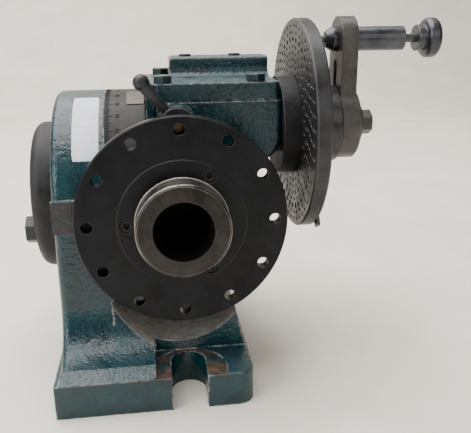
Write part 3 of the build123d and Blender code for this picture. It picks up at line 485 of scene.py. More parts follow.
@dataclass(frozen=True)
class MachineEnamel(Shader):
    """Gloss enamel brushed over rough cast iron: deep colour, lumpy shine, chips on the edges
    lightened near white as painted highlights.
    """

    deep: str = "#022129"
    lifted: str = "#05383f"
    dusty: str = "#4a5c62"
    # The chip colour: bare iron lifted near white, so that the chipped edges carry painted
    # highlights.
    bare: str = "#c4c6c4"
    roughness: float = 0.2
    swing: tuple[float, float] = (-0.06, 0.12)
    ior: float = 1.5
    chips: float = 1.0
    dust: float = 0.3
    bare_matt: float = 0.22
    brush_share: float = 0.7
    zones: tuple[BareZone, ...] = ()
    edge_mm: float = 2.0
    cloud_mm: float = 22.0
    brush_mm: float = 1.9
    lump_mm: float = 4.6
    chip_mm: float = 6.0
    dust_mm: float = 9.0
    stain_mm: float = 6.0
    relief_mm: float = 0.75

    def wear(self, node: Adder, place: bpy.types.NodeSocket,
             worn: bpy.types.Node) -> list[bpy.types.Node]:
        """Find where dust has settled on what faces up, and where edges are chipped.

        Args:
            node: What adds a node to the material.
            place: The object coordinates.
            worn: One on an edge, zero on a flat.

        Returns:
            The mask of the dust and the mask of the chips.
        """
        normal = node("ShaderNodeTexCoord").outputs["Normal"]
        upright = node("ShaderNodeSeparateXYZ", {0: normal}).outputs["Z"]
        upward = node("ShaderNodeMapRange", span(upright, 0.45, 1.0))
        drift = node("ShaderNodeTexNoise", grain(place, self.dust_mm, 5.0, 0.7))
        flake = node("ShaderNodeTexNoise", grain(place, self.chip_mm, 6.0, 0.8))
        masks = []
        for where, pattern, amount in ((upward, span(drift, 0.3, 0.75), self.dust),
                                       (worn, span(flake, 0.46, 0.56), self.chips)):
            spread = node("ShaderNodeMapRange", pattern)
            mask = node("ShaderNodeMath", {0: where, 1: spread}, operation="MULTIPLY")
            masks.append(node("ShaderNodeMath", {0: mask, 1: amount}, operation="MULTIPLY"))
        return masks

    def material(self) -> bpy.types.Material:
        """Build the finish.

        Returns:
            The material.
        """
        made, node, place = self.start()
        rounded, worn = self.edges(node, self.edge_mm)
        cloud = node("ShaderNodeTexNoise", grain(place, self.cloud_mm, 4.0, 0.55))
        brush = node("ShaderNodeTexNoise", grain(place, self.brush_mm, 2.0, 0.55))
        lumps = node("ShaderNodeTexNoise", grain(place, self.lump_mm, 2.0, 0.55))
        shade = node("ShaderNodeMapRange", span(cloud, 0.35, 0.7))
        dust, chips = self.wear(node, place, worn)
        # Chips take the near-white chip colour: real wear with a painted highlight in it.
        layers = [(shade, self.lifted), (dust, self.dusty), (chips, self.bare)]
        gloss = node("ShaderNodeMapRange", span(cloud, 0.3, 0.7, *self.gloss()))
        gloss = node("ShaderNodeMath", {0: gloss, 1: dust}, operation="ADD")
        for zone in self.zones:
            inside = zone.mask(node, place)
            stain = node("ShaderNodeTexNoise", grain(place, self.stain_mm, 5.0, 0.7))
            tone = node("ShaderNodeMapRange", span(stain, 0.35, 0.7))
            layers.append((inside, self.layered(node, zone.dark, [(tone, zone.light)])))
            gloss = node("ShaderNodeMath", {0: inside, 1: self.bare_matt, 2: gloss},
                         operation="MULTIPLY_ADD")
        height = node("ShaderNodeMath", {0: brush, 1: self.brush_share, 2: lumps},
                      operation="MULTIPLY_ADD")
        self.surface(node, {"Strength": 0.8, "Distance": self.relief_mm * MM, "Height": height,
                            "Normal": rounded},
                     {"Base Color": self.layered(node, self.deep, layers), "Roughness": gloss,
                      "IOR": self.ior})
        return made


@dataclass(frozen=True)
class CastIron(Shader):
    """Bare iron or black steel as cast and handled: brown-grey, grainy, dull."""

    dark: str = "#2c2a29"
    light: str = "#4b4744"
    rust: str = "#4a3527"
    rubbed: str = "#8b8782"
    metallic: float = 0.55
    roughness: float = 0.55
    swing: tuple[float, float] = (-0.08, 0.12)
    bright_edges: float = 0.45
    edge_mm: float = 1.2
    cloud_mm: float = 14.0
    rust_mm: float = 6.0
    grain_mm: float = 1.4
    relief_mm: float = 0.4

    def material(self) -> bpy.types.Material:
        """Build the finish.

        Returns:
            The material.
        """
        made, node, place = self.start()
        rounded, worn = self.edges(node, self.edge_mm)
        cloud = node("ShaderNodeTexNoise", grain(place, self.cloud_mm, 5.0, 0.65))
        spots = node("ShaderNodeTexNoise", grain(place, self.rust_mm, 6.0, 0.7))
        sand = node("ShaderNodeTexNoise", grain(place, self.grain_mm, 3.0, 0.55))
        shade = node("ShaderNodeMapRange", span(cloud, 0.33, 0.7))
        rusty = node("ShaderNodeMapRange", span(spots, 0.58, 0.78))
        bright = node("ShaderNodeMapRange", span(worn, 0.0, 1.0, 0.0, self.bright_edges))
        gloss = node("ShaderNodeMapRange", span(cloud, 0.3, 0.7, *self.gloss()))
        layers = [(shade, self.light), (rusty, self.rust), (bright, self.rubbed)]
        self.surface(node, {"Strength": 0.7, "Distance": self.relief_mm * MM, "Height": sand,
                            "Normal": rounded},
                     {"Base Color": self.layered(node, self.dark, layers),
                      "Metallic": self.metallic, "Roughness": gloss})
        return made


@dataclass(frozen=True)
class TurnedSteel(Shader):
    """Steel faced in a lathe and darkened by oil: fine rings about its axis, brighter edges.

    Real rings lie a tenth of a millimetre apart. These are as coarse as they need to be to show.
    """

    centre: Point = (0.0, 0.0, 0.0)
    lathe: Lathe = Lathe.ALONG_X
    dark: str = "#2b2a29"
    light: str = "#474542"
    edge: str = "#8a8783"
    stain: str = "#3a2f28"
    # The colour painted into the bore as shade.
    painted_bore_shade: str = "#0c0b0b"
    metallic: float = 0.85
    roughness: float = 0.36
    swing: tuple[float, float] = (-0.08, 0.16)
    ring_share: float = 0.35
    stains: float = 0.5
    bright_edges: float = 0.75
    depth: float = 1.0
    wall_mm: float = 0.0
    wall_fade_mm: float = 0.2
    bore_mm: float = 0.0
    bore_fade_mm: float = 0.8
    bore_matt: float = 0.6
    edge_mm: float = 0.8
    ring_mm: float = 0.9
    cloud_mm: float = 18.0
    blot_mm: float = 7.0
    relief_mm: float = 0.06

    def material(self) -> bpy.types.Material:
        """Build the finish.

        Returns:
            The material.
        """
        made, node, place = self.start()
        rounded, worn = self.edges(node, self.edge_mm)
        shifted = node("ShaderNodeVectorMath", {0: place, 1: self.centre}, operation="SUBTRACT")
        radius = self.reach(node, shifted, self.lathe)
        ahead = tuple(1.0 - part for part in self.lathe.value)
        along = node("ShaderNodeVectorMath", {0: shifted, 1: ahead}, operation="DOT_PRODUCT")
        track = node("ShaderNodeMath", {0: radius, 1: along}, operation="ADD")
        rings = node("ShaderNodeTexNoise", {"W": track, "Scale": 1 / (self.ring_mm * MM),
                                            "Detail": 4.0, "Roughness": 0.7}, noise_dimensions="1D")
        cloud = node("ShaderNodeTexNoise", grain(place, self.cloud_mm, 5.0, 0.6))
        blots = node("ShaderNodeTexNoise", grain(place, self.blot_mm, 5.0, 0.7))
        tone = node("ShaderNodeMath", {0: rings, 1: self.ring_share, 2: cloud},
                    operation="MULTIPLY_ADD")
        shade = node("ShaderNodeMapRange", span(tone, 0.48, 0.9))
        oily = node("ShaderNodeMapRange", span(blots, 0.56, 0.75, 0.0, self.stains))
        bright = node("ShaderNodeMapRange", span(worn, 0.0, 1.0, 0.0, self.bright_edges))
        gloss = node("ShaderNodeMapRange", span(tone, 0.45, 0.95, *self.gloss()))
        layers = [(shade, self.light), (oily, self.stain), (bright, self.edge)]
        if self.wall_mm:  # the turned outside wall, bright where it is handled
            wall = node("ShaderNodeMapRange",
                        span(radius, (self.wall_mm - self.wall_fade_mm) * MM, self.wall_mm * MM))
            rubbed = node("ShaderNodeMapRange", span(tone, 0.5, 0.9, 0.1, 0.65))
            scratched = node("ShaderNodeMath", {0: wall, 1: rubbed}, operation="MULTIPLY")
            layers.append((scratched, self.edge))
        if self.bore_mm:  # the unlit bore, painted black and made matt as painted shade
            bore = node("ShaderNodeMapRange",
                        span(radius, self.bore_mm * MM, (self.bore_mm - self.bore_fade_mm) * MM))
            layers.append((bore, self.painted_bore_shade))
            gloss = node("ShaderNodeMath", {0: bore, 1: self.bore_matt, 2: gloss},
                         operation="MULTIPLY_ADD")
        self.surface(node, {"Strength": 0.25, "Distance": self.relief_mm * MM * self.depth,
                            "Height": rings, "Normal": rounded},
                     {"Base Color": self.layered(node, self.dark, layers),
                      "Metallic": self.metallic, "Roughness": gloss})
        return made


@dataclass(frozen=True)
class PlainFinish(Shader):
    """A simple finish with a little cloud in its colour: bronze, rubber, paper or filled lines."""

    dark: str = "#8a6a34"
    light: str = "#b08a4a"
    metallic: float = 0.9
    roughness: float = 0.35
    swing: tuple[float, float] = (0.0, 0.15)
    shine: float = 0.5
    grain_mm: float = 4.0
    relief_mm: float = 0.05

    def material(self) -> bpy.types.Material:
        """Build the finish.

        Returns:
            The material.
        """
        made, node, place = self.start()
        cloud = node("ShaderNodeTexNoise", grain(place, self.grain_mm, 4.0, 0.6))
        shade = node("ShaderNodeMapRange", span(cloud, 0.3, 0.7))
        gloss = node("ShaderNodeMapRange", span(cloud, 0.3, 0.7, *self.gloss()))
        self.surface(node, {"Strength": 0.2, "Distance": self.relief_mm * MM, "Height": cloud},
                     {"Base Color": self.layered(node, self.dark, [(shade, self.light)]),
                      "Metallic": self.metallic, "Roughness": gloss,
                      "Specular IOR Level": self.shine})
        return made


@dataclass(frozen=True)
class CreasedPaper(Shader):
    """White backing paper with fine soft creases that catch the light."""

    dark: str = "#dfd9ce"
    light: str = "#ebe5da"
    ior: float = 1.45
    roughness: float = 0.75
    cloud_mm: float = 90.0
    crease_mm: float = 11.0
    crease_wander: float = 1.2
    relief_mm: float = 1.2

    def material(self) -> bpy.types.Material:
        """Build the finish.

        Returns:
            The material.
        """
        made, node, place = self.start()
        cloud = node("ShaderNodeTexNoise", grain(place, self.cloud_mm, 4.0, 0.6))
        shade = node("ShaderNodeMapRange", span(cloud, 0.3, 0.7))
        crease = node("ShaderNodeTexNoise", {**grain(place, self.crease_mm, 3.0, 0.5),
                                             "Distortion": self.crease_wander})
        self.surface(node, {"Strength": 0.35, "Distance": self.relief_mm * MM, "Height": crease},
                     {"Base Color": self.layered(node, self.dark, [(shade, self.light)]),
                      "Roughness": self.roughness, "IOR": self.ior})
        return made


class Finishes:
    """All materials of the head, each made once."""

    def __init__(self, places: Places) -> None:
        """Make the materials.

        Args:
            places: Where the axes lie that the turned pieces were turned about.
        """
        # Alkyd machine enamel brushed over rough castings: deep and glossy, lumpy with the sand
        # cast iron under it, chipped to metal on the edges, the chips lifted into painted
        # highlights, dusty on what faces up.
        self.enamel = MachineEnamel("green_machine_enamel_on_cast_iron",
                                    zones=BASE_ZONES).material()
        self.head_enamel = MachineEnamel("green_machine_enamel_on_head_casting", chips=0.7,
                                         dust=0.25).material()
        self.cover_enamel = MachineEnamel("green_machine_enamel_on_cover", dust=0.5,
                                          chips=0.8).material()
        # Grey cast iron left bare and oiled: nearly black, grainy, with a dull sheen.
        self.iron = CastIron("bare_grey_cast_iron", dark="#1d1d1e", light="#343435",
                             rust="#2b2725").material()
        # A darker copy of the bare iron for the worm flange, which sits between body and plate: its
        # extra darkness is painted shade.
        self.shade_darkened_iron = CastIron("cast_iron_darkened_as_painted_shade", dark="#131416", light="#26272a",
                                  rust="#1d1a19", roughness=0.5).material()
        # Malleable iron as cast, rubbed by hands: warmer, lighter and smoother.
        self.crank_iron = CastIron("handled_malleable_iron", dark="#3a3837", light="#55524f",
                                   rust="#443a33", roughness=0.42).material()
        # Steel plate faced in the lathe and soaked in oil: blue-black, satin, faint rings.
        self.plate = TurnedSteel("oil_dark_faced_steel_plate", centre=places.swivel,
                                 lathe=Lathe.ALONG_Y, dark="#151619", light="#242528",
                                 stain="#2f2c2a", stains=0.3, bright_edges=0.3).material()
        # The spindle's nose, turned and worn by chucks: coarse rings, silver wall, and a bore
        # painted black as shade.
        self.nose = TurnedSteel("worn_turned_steel_nose", centre=places.swivel,
                                lathe=Lathe.ALONG_Y, dark="#1b1a1a", light="#3d3a38",
                                stain="#2a2521", edge="#cfc9c0", roughness=0.32, stains=0.4,
                                depth=4.0, bore_mm=22.0, wall_mm=32.9).material()
        # The drum's rim, turned and left to dull: brown-black with a broad soft shine.
        self.drum = TurnedSteel("dull_turned_steel_drum", centre=places.swivel, dark="#1d1c1c",
                                light="#302f2e", roughness=0.45).material()
        # The index plate, faced and greasy: mid grey, with rings wide enough to see.
        self.index = TurnedSteel("dark_faced_steel_index_plate", centre=places.worm,
                                 dark="#2d2e30", light="#48484a", roughness=0.42,
                                 ring_mm=1.4).material()
        # Small parts turned bright and gone grey: clean rings and bright corners.
        self.worm = TurnedSteel("turned_steel_worm_parts", centre=places.worm, dark="#303033",
                                light="#4d4c4f").material()
        self.sleeve = TurnedSteel("turned_steel_plunger_parts", centre=places.plunger,
                                  dark="#383a40", light="#5c5d62", roughness=0.34).material()
        # Black oxide on bolt steel: blue-black and matt, rusty brown in spots.
        self.bolts = CastIron("black_oxide_bolt_steel", dark="#1f2224", light="#3a3d40",
                              rust="#33291f", roughness=0.42).material()
        self.black = CastIron("black_socket_screw_steel", dark="#08080a", light="#141416",
                              rust="#100f0e", roughness=0.4).material()
        # Bolt heads that the brush went over: steel with a thin teal smear.
        self.painted_bolts = CastIron("bolt_steel_smeared_with_paint", dark="#0f2227",
                                      light="#2a3f44", rust="#2b2c2a", roughness=0.36).material()
        # Cast tin bronze, as cut: warm gold, slightly cloudy.
        self.bronze = PlainFinish("cast_gear_bronze").material()
        # A hardened pin tempered to straw: brassy dark brown, metallic.
        self.pin = PlainFinish("brassy_hardened_pin_steel", dark="#453a29",
                               light="#6b5d44").material()
        # Moulded nitrile rubber: black, soft wide highlight.
        self.rubber = PlainFinish("moulded_nitrile_rubber", dark="#0d0d0d", light="#181818",
                                  metallic=0.0, roughness=0.6).material()
        # Gasket paper soaked in oil: dark brown and quite matt.
        self.paper = PlainFinish("oiled_gasket_paper", dark="#26231e", light="#3a362e",
                                 metallic=0.0, roughness=0.8, grain_mm=2.0).material()
        # A coated paper label, blank: cold white with a slight sheen.
        self.label = PlainFinish("white_paper_label", dark="#c9ccd6", light="#e2e5ec",
                                 metallic=0.0, roughness=0.5, grain_mm=12.0).material()
        # Thin rolled zinc gone brown: mottled, half metallic.
        self.tag = PlainFinish("thin_rolled_zinc_tag", dark="#3f3936", light="#6b625d",
                               metallic=0.8, roughness=0.45, grain_mm=1.2).material()
        # Black wax rubbed into engraved lines: no shine, so that it stays black in the light.
        self.ink = PlainFinish("black_filled_engraving", dark="#0a0a0a", light="#121212",
                               metallic=0.0, roughness=0.85, shine=0.1).material()


# ---- sub-assemblies ---------------------------------------------------------------------
@dataclass
class Dress:
    """The finish of every carried-over solid."""

    finishes: Finishes
    nodes: dict[str, bpy.types.Object]

    def table(self) -> dict[bpy.types.Material, tuple[str, ...]]:
        """Say which solids have each finish.

        Returns:
            Each finish with the names of its solids.
        """
        f = self.finishes
        return {
            f.enamel: ("base_casting",),
            f.head_enamel: ("head_casting", "rear_cover"),
            f.cover_enamel: ("top_cover",),
            f.iron: ("clamp_disc",),
            # The worm flange's iron is darkened as painted shade.
            f.shade_darkened_iron: ("worm_flange",),
            f.crank_iron: ("crank_arm", "crank_nut"),
            f.plate: ("direct_plate", "spacer_sleeve", "front_bearing_cup", "front_bearing_cone",
                      "front_bearing_rollers", "rear_bearing_cup", "rear_bearing_cone",
                      "rear_bearing_rollers"),
            f.nose: ("spindle",),
            f.drum: ("swivel_drum",),
            f.index: ("index_plate",),
            f.worm: ("worm_shaft", "crank_washer", "sector_spring", "sector_collar",
                     "leading_sector_arm", "trailing_sector_arm"),
            f.sleeve: ("plunger_sleeve", "plunger_pin", "plunger_knob"),
            f.bolts: ("clamp_bolts", "oil_plugs", "rear_cover_screws", "worm_flange_screws",
                      "index_plate_screws", "direct_pin_spring", "wheel_key", "lock_washer",
                      "bearing_nut", "crank_key", "plunger_spring", "direct_lever"),
            f.black: ("direct_plate_screws",),
            f.painted_bolts: ("cover_bolts",),
            f.bronze: ("worm_bush", "thrust_washer", "worm_wheel"),
            f.pin: ("direct_pin",),
            f.rubber: ("front_seal",),
            f.paper: ("cover_gasket",),
        }

    def apply(self) -> None:
        """Put each finish on its solids."""
        for material, names in self.table().items():
            for name in names:
                for slot in self.nodes[name].material_slots:
                    slot.material = material
        log.info("dressed %d solids", len(self.nodes))


@dataclass
class Graduations:
    """The degree scale filled with black on the swivel drum."""

    finishes: Finishes
    places: Places
    inset: float = 0.1 * MM
    short: float = 3.2 * MM
    longer: float = 0.45
    width: float = 0.6 * MM
    proud: float = 0.06 * MM
    first: float = 36.0
    last: float = 166.0
    middle: float = 66.0
    digit_height: float = 4.6 * MM
    digit_row: float = 9.5 * MM
    digit_steps: int = 3

    def ticks(self) -> bpy.types.Object:
        """Lay one line for each degree, longer at fives and tens, round the drum's left edge.

        Returns:
            The lines as one piece.
        """
        tree = GeometryTree("drum_degree_lines", {
            "Count": int(self.last - self.first) + 1, "First": math.radians(self.first),
            "Step": math.radians(1.0), "Radius": self.places.drum_radius,
            "Left": self.places.drum_left + self.inset, "Short": self.short,
            "Width": self.width, "Proud": self.proud})
        index = tree.node("GeometryNodeInputIndex")
        angle = tree.node("ShaderNodeMath",
                          {0: index, 1: tree.input("Step"), 2: tree.input("First")},
                          operation="MULTIPLY_ADD")
        stretch: float | bpy.types.Node = 1.0
        for every in (5.0, 10.0):
            rest = tree.node("ShaderNodeMath", {0: index, 1: every}, operation="MODULO")
            marked = tree.node("ShaderNodeMath", {0: rest, 1: 0.0}, operation="COMPARE")
            stretch = tree.node("ShaderNodeMath", {0: marked, 1: self.longer, 2: stretch},
                                operation="MULTIPLY_ADD")
        length = tree.node("ShaderNodeMath", {0: tree.input("Short"), 1: stretch},
                           operation="MULTIPLY")
        across = tree.node("ShaderNodeMath", {0: length, 1: 0.5, 2: tree.input("Left")},
                           operation="MULTIPLY_ADD")
        ahead = tree.node("ShaderNodeMath", {0: tree.input("Radius"), 1: -1.0},
                          operation="MULTIPLY")
        spot = tree.round_x(across, angle, self.places.swivel, ahead, tree.input("Radius"))
        lean = tree.node("ShaderNodeMath", {0: QUARTER, 1: angle}, operation="SUBTRACT")
        turn = tree.node("ShaderNodeCombineXYZ", {0: lean})
        size = tree.node("ShaderNodeCombineXYZ",
                         {0: length, 1: tree.input("Width"), 2: tree.input("Proud")})
        points = tree.node("GeometryNodePoints", {"Count": tree.input("Count"), "Position": spot})
        line = tree.node("GeometryNodeMeshCube", {"Size": (1.0, 1.0, 2.0)})
        placed = tree.node("GeometryNodeInstanceOnPoints", {"Points": points, "Instance": line,
                                                            "Rotation": turn, "Scale": size})
        blank = mesh_piece("drum_degree_lines", bmesh.new(), smooth=False)
        return tree.run(blank, placed, self.finishes.ink)

    def digit(self, angle: int) -> bpy.types.Mesh:
        """Set one plain number at its angle, upright as it is read from the right.

        Args:
            angle: The angle round the drum, in degrees.

        Returns:
            The number's mesh, in its place.
        """
        curve = bpy.data.curves.new("degree_digits", "FONT")
        # The scale reads ninety at its middle and counts down to both sides.
        curve.body = str(int(abs(90 - abs(angle - self.middle))))
        curve.size = self.digit_height
        curve.extrude = self.proud / 2
        curve.resolution_u = self.digit_steps
        curve.align_x = curve.align_y = "CENTER"
        holder = linked("degree_digits", curve)
        mesh = plain_mesh(holder)
        bpy.data.objects.remove(holder)
        swing = math.radians(angle)
        outward = Vector((0, -math.cos(swing), math.sin(swing)))
        upward = Vector((-1, 0, 0))
        pose = Matrix((upward.cross(outward), upward, outward)).transposed().to_4x4()
        row = self.places.drum_left + self.inset + self.digit_row
        pose.translation = (Vector((row, *self.places.swivel[1:]))
                            + outward * (self.places.drum_radius + self.proud / 4))
        mesh.transform(pose)
        return mesh

    def digits(self) -> bpy.types.Object:
        """Set plain tens beside the long lines, reading round the drum.

        Returns:
            The numbers as one piece.
        """
        shape = bmesh.new()
        for angle in range(int(self.first), int(self.last) + 1, 10):
            mesh = self.digit(angle)
            shape.from_mesh(mesh)
            bpy.data.meshes.remove(mesh)
        bmesh.ops.remove_doubles(shape, verts=shape.verts, dist=0.001 * MM)
        for face in shape.faces:
            face.material_index = 0
        piece = mesh_piece("drum_degree_digits", shape, smooth=False)
        piece.data.materials.append(self.finishes.ink)
        return piece

    def build(self) -> None:
        """Make the scale and let it ride on the head."""
        for piece in (self.ticks(), self.digits()):
            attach(piece, "head")
            log.info("made %s", piece.name)


@dataclass
class BentTag:
    """A thin blank tag that lies on a rim about the swivel axis."""

    name: str
    places: Places
    material: bpy.types.Material
    left: float
    right: float
    start: float
    end: float
    thickness: float
    body: str
    slot: str
    rows: int = 14
    trim: float = 0.8 * MM

    def ring(self, shape: bmesh.types.BMesh, row: int) -> list[bmesh.types.BMVert]:
        """Set the four corners of one cross-section, drawn in a little at the tag's ends.

        Args:
            shape: The mesh that gets the corners.
            row: The cross-section's number.

        Returns:
            The corners in order.
        """
        angle = math.radians(self.start + (self.end - self.start) * row / self.rows)
        trim = self.trim if row in (0, self.rows) else 0.0
        left, right, top = self.left + trim, self.right - trim, self.thickness
        corners = []
        for lift, across in ((0, left), (top, left), (top, right), (0, right)):
            reach = self.places.drum_radius + lift
            corners.append(shape.verts.new((across, -reach * math.cos(angle),
                                            self.places.swivel[2] + reach * math.sin(angle))))
        return corners

    def build(self) -> None:
        """Make the tag as a closed bent sheet and let it ride on its body."""
        shape = bmesh.new()
        rings = [self.ring(shape, row) for row in range(self.rows + 1)]
        close_rings(shape, rings)
        shape.faces.new(rings[0])
        shape.faces.new(list(reversed(rings[-1])))
        piece = mesh_piece(self.name, shape)
        piece.data.materials.append(self.material)
        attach(piece, self.body)
        log.info("made %s", self.name)


@dataclass
class DrumWeb:
    """The painted web that joins the head's box and cover to the drum, over the worm's tunnel."""

    finishes: Finishes
    places: Places
    air: float = 0.1 * MM
    depth_below: float = 12.0 * MM
    below_cover: float = 15.6 * MM
    bevel: float = 1.2 * MM
    tunnel_radius: float = 20.5 * MM
    tunnel_length: float = 60.0 * MM
    tunnel_sides: int = 48

    def block(self) -> bpy.types.Object:
        """Fill the space between drum and box, with its upper left edge rounded.

        Returns:
            The block.
        """
        low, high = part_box("top_cover")
        left, right = self.places.drum_right + self.air, low.x + self.air
        axis = self.places.worm[2]
        floor, top = axis - self.depth_below, high.z - self.below_cover
        shape = bmesh.new()
        bmesh.ops.create_cube(shape, size=1.0)
        for vert in shape.verts:
            vert.co = Vector((left if vert.co.x < 0 else right, low.y if vert.co.y < 0 else high.y,
                              floor if vert.co.z < 0 else top))
        crown = [edge for edge in shape.edges if min(vert.co.z for vert in edge.verts) > axis
                 and max(vert.co.x for vert in edge.verts) < (left + right) / 2]
        bmesh.ops.bevel(shape, geom=crown, offset=self.bevel, segments=3, profile=0.5,
                        affect="EDGES")
        return mesh_piece("head_web_block", shape, smooth=False)

    def tunnel(self) -> bpy.types.Object:
        """Make the cutter for the worm's tunnel.

        Returns:
            The cutter.
        """
        shape = bmesh.new()
        spot = (self.places.drum_right + self.air, *self.places.worm[1:])
        bmesh.ops.create_cone(shape, segments=self.tunnel_sides, radius1=self.tunnel_radius,
                              radius2=self.tunnel_radius, depth=self.tunnel_length, cap_ends=True,
                              matrix=Matrix.Translation(spot) @ Matrix.Rotation(QUARTER, 4, "Y"))
        return mesh_piece("head_web_tunnel", shape, smooth=False)

    def build(self) -> None:
        """Cut the worm's tunnel out of the block and let the web ride on the head."""
        piece, tool = self.block(), self.tunnel()
        cut = piece.modifiers.new("tunnel", "BOOLEAN")
        cut.object, cut.solver, cut.operation = tool, "EXACT", "DIFFERENCE"
        settle(piece, "head_drum_web", self.finishes.head_enamel)
        bpy.data.objects.remove(tool)
        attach(piece, "head")
        log.info("made %s", piece.name)


@dataclass(frozen=True)
class HoleCircle:
    """One circle of equal holes in the index plate, named by the input that holds their size."""

    radius: float
    count: int
    size: str = "Hole"
    start: float = 90.0
    sides: int = 10


@dataclass
class DrilledIndexPlate:
    """The index plate with its full set of hole circles."""

    finishes: Finishes
    places: Places
    bore: float = 17.02 * MM
    bevel: float = 1.0 * MM
    hole: float = 1.75 * MM
    plunger_hole: float = 2.4 * MM
    screw_hole: float = 3.7 * MM
    overshoot: float = 2.0 * MM
    sides: int = 144
    circles: tuple[HoleCircle, ...] = (
        HoleCircle(39.0 * MM, 24), HoleCircle(44.2 * MM, 28), HoleCircle(49.4 * MM, 30),
        HoleCircle(54.6 * MM, 34), HoleCircle(59.8 * MM, 37), HoleCircle(70.2 * MM, 43),
        HoleCircle(75.4 * MM, 47), HoleCircle(65.0 * MM, 40, "Plunger Hole", sides=20),
        HoleCircle(31.0 * MM, 3, "Screw Hole", start=0.0, sides=24))

    def blank(self, left: float, right: float, radius: float) -> bpy.types.Object:
        """Turn the plate's bevelled ring as a closed mesh.

        Args:
            left: Where its left face lies.
            right: Where its right face lies.
            radius: Its outer radius.

        Returns:
            The ring.
        """
        outline = ((left, self.bore), (left, radius - self.bevel), (left + self.bevel, radius),
                   (right - self.bevel, radius), (right, radius - self.bevel), (right, self.bore))
        _, ahead, above = self.places.worm
        shape = bmesh.new()
        rings = []
        for side in range(self.sides):
            angle = math.tau * side / self.sides
            level, rise = math.cos(angle), math.sin(angle)
            rings.append([shape.verts.new((x, ahead + r * level, above + r * rise))
                          for x, r in outline])
        close_rings(shape, [*rings, rings[0]])
        return mesh_piece("index_plate_drilled", shape)

    def cutters(self, tree: GeometryTree, circle: HoleCircle, deep: bpy.types.Node,
                middle: bpy.types.Node) -> bpy.types.Node:
        """Set one ring of cutters.

        Args:
            tree: The tree that gets the nodes.
            circle: The circle that they drill.
            deep: Their length.
            middle: Where their middle lies along the plate's axis.

        Returns:
            The node that holds the cutters.
        """
        index = tree.node("GeometryNodeInputIndex")
        angle = tree.node("ShaderNodeMath", {0: index, 1: math.tau / circle.count,
                                             2: math.radians(circle.start)},
                          operation="MULTIPLY_ADD")
        spot = tree.round_x(middle, angle, self.places.worm, circle.radius, circle.radius)
        points = tree.node("GeometryNodePoints", {"Count": circle.count, "Position": spot})
        cutter = tree.node("GeometryNodeMeshCylinder",
                           {"Vertices": circle.sides, "Radius": tree.input(circle.size),
                            "Depth": deep})
        return tree.node("GeometryNodeInstanceOnPoints", {"Points": points, "Instance": cutter,
                                                          "Rotation": (0.0, QUARTER, 0.0)})

    def build(self) -> None:
        """Drill the plate with one ring of cutters for each hole circle."""
        low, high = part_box("index_plate")
        tree = GeometryTree("index_plate_hole_circles", {
            "Hole": self.hole, "Plunger Hole": self.plunger_hole, "Screw Hole": self.screw_hole,
            "Thickness": high.x - low.x, "Left": low.x})
        deep = tree.node("ShaderNodeMath", {0: tree.input("Thickness"), 1: self.overshoot},
                         operation="ADD")
        middle = tree.node("ShaderNodeMath",
                           {0: tree.input("Thickness"), 1: 0.5, 2: tree.input("Left")},
                           operation="MULTIPLY_ADD")
        rings = [self.cutters(tree, circle, deep, middle) for circle in self.circles]
        join = tree.node("GeometryNodeJoinGeometry", {0: rings})
        cut = tree.node("GeometryNodeMeshBoolean",
                        {"Mesh 1": tree.input("Geometry"),
                         "Mesh 2": tree.node("GeometryNodeRealizeInstances", {0: join})},
                        operation="DIFFERENCE", solver="EXACT")
        blank = self.blank(low.x, high.x, high.z - self.places.worm[2])
        piece = tree.run(blank, cut, self.finishes.index)
        piece.data.set_sharp_from_angle(angle=SHARP)
        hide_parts("index_plate")
        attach(piece, "head")
        log.info("made %s", piece.name)


@dataclass
class CoilSpring:
    """A coil spring of round wire inside the sleeve that stands for it."""

    node: str
    body: str
    material: bpy.types.Material
    turns: float
    wire: float
    joint: str = ""
    keep: float = 1.0
    steps_per_turn: int = 20
    wire_sides: int = 8

    def build(self) -> None:
        """Sweep the wire along its helix, seated at both ends, and give it a mesh of its own if it
        has a joint.
        """
        low, high = (Vector(corner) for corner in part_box(self.node))
        size = high - low
        long = 0 if size.x > size.y else 1
        tree = GeometryTree(self.node + "_coil", {
            "Turns": self.turns, "Wire": self.wire / 2,
            "Radius": size[1 - long] / 2 - self.wire / 2, "Length": size[long] - self.wire})
        helix = tree.node("GeometryNodeCurveSpiral",
                          {"Resolution": self.steps_per_turn, "Rotations": tree.input("Turns"),
                           "Start Radius": tree.input("Radius"), "End Radius": tree.input("Radius"),
                           "Height": tree.input("Length")})
        section = tree.node("GeometryNodeCurvePrimitiveCircle",
                            {"Resolution": self.wire_sides, "Radius": tree.input("Wire")},
                            mode="RADIUS")
        wire = tree.node("GeometryNodeCurveToMesh",
                         {"Curve": helix, "Profile Curve": section, "Fill Caps": True})
        start = (low + high) / 2
        start[long] = low[long] + self.wire / 2
        turn = ((0.0, QUARTER, 0.0), (-QUARTER, 0.0, 0.0))[long]
        placed = tree.node("GeometryNodeTransform",
                           {"Geometry": wire, "Translation": start, "Rotation": turn})
        blank = mesh_piece(self.node + "_coil", bmesh.new())
        piece = tree.run(blank, placed, self.material)
        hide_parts(self.node)
        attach(piece, self.body)
        if self.joint:
            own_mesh(piece)
        log.info("made %s", piece.name)


@dataclass(frozen=True)
class SoftLight:
    """One soft square light: its place, the point it faces, its side, power and colour."""

    name: str
    spot: Point
    aim: Point
    side: float
    watts: float
    tint: str

    def hang(self) -> None:
        """Make the light and turn it to its point."""
        lamp = bpy.data.lights.new(self.name, "AREA")
        lamp.size = self.side
        lamp.energy = self.watts
        lamp.color = linear(self.tint)[:3]
        holder = linked(self.name, lamp)
        holder.location = self.spot
        facing = Vector(self.aim) - Vector(self.spot)
        holder.rotation_euler = facing.to_track_quat("-Z", "Y").to_euler()


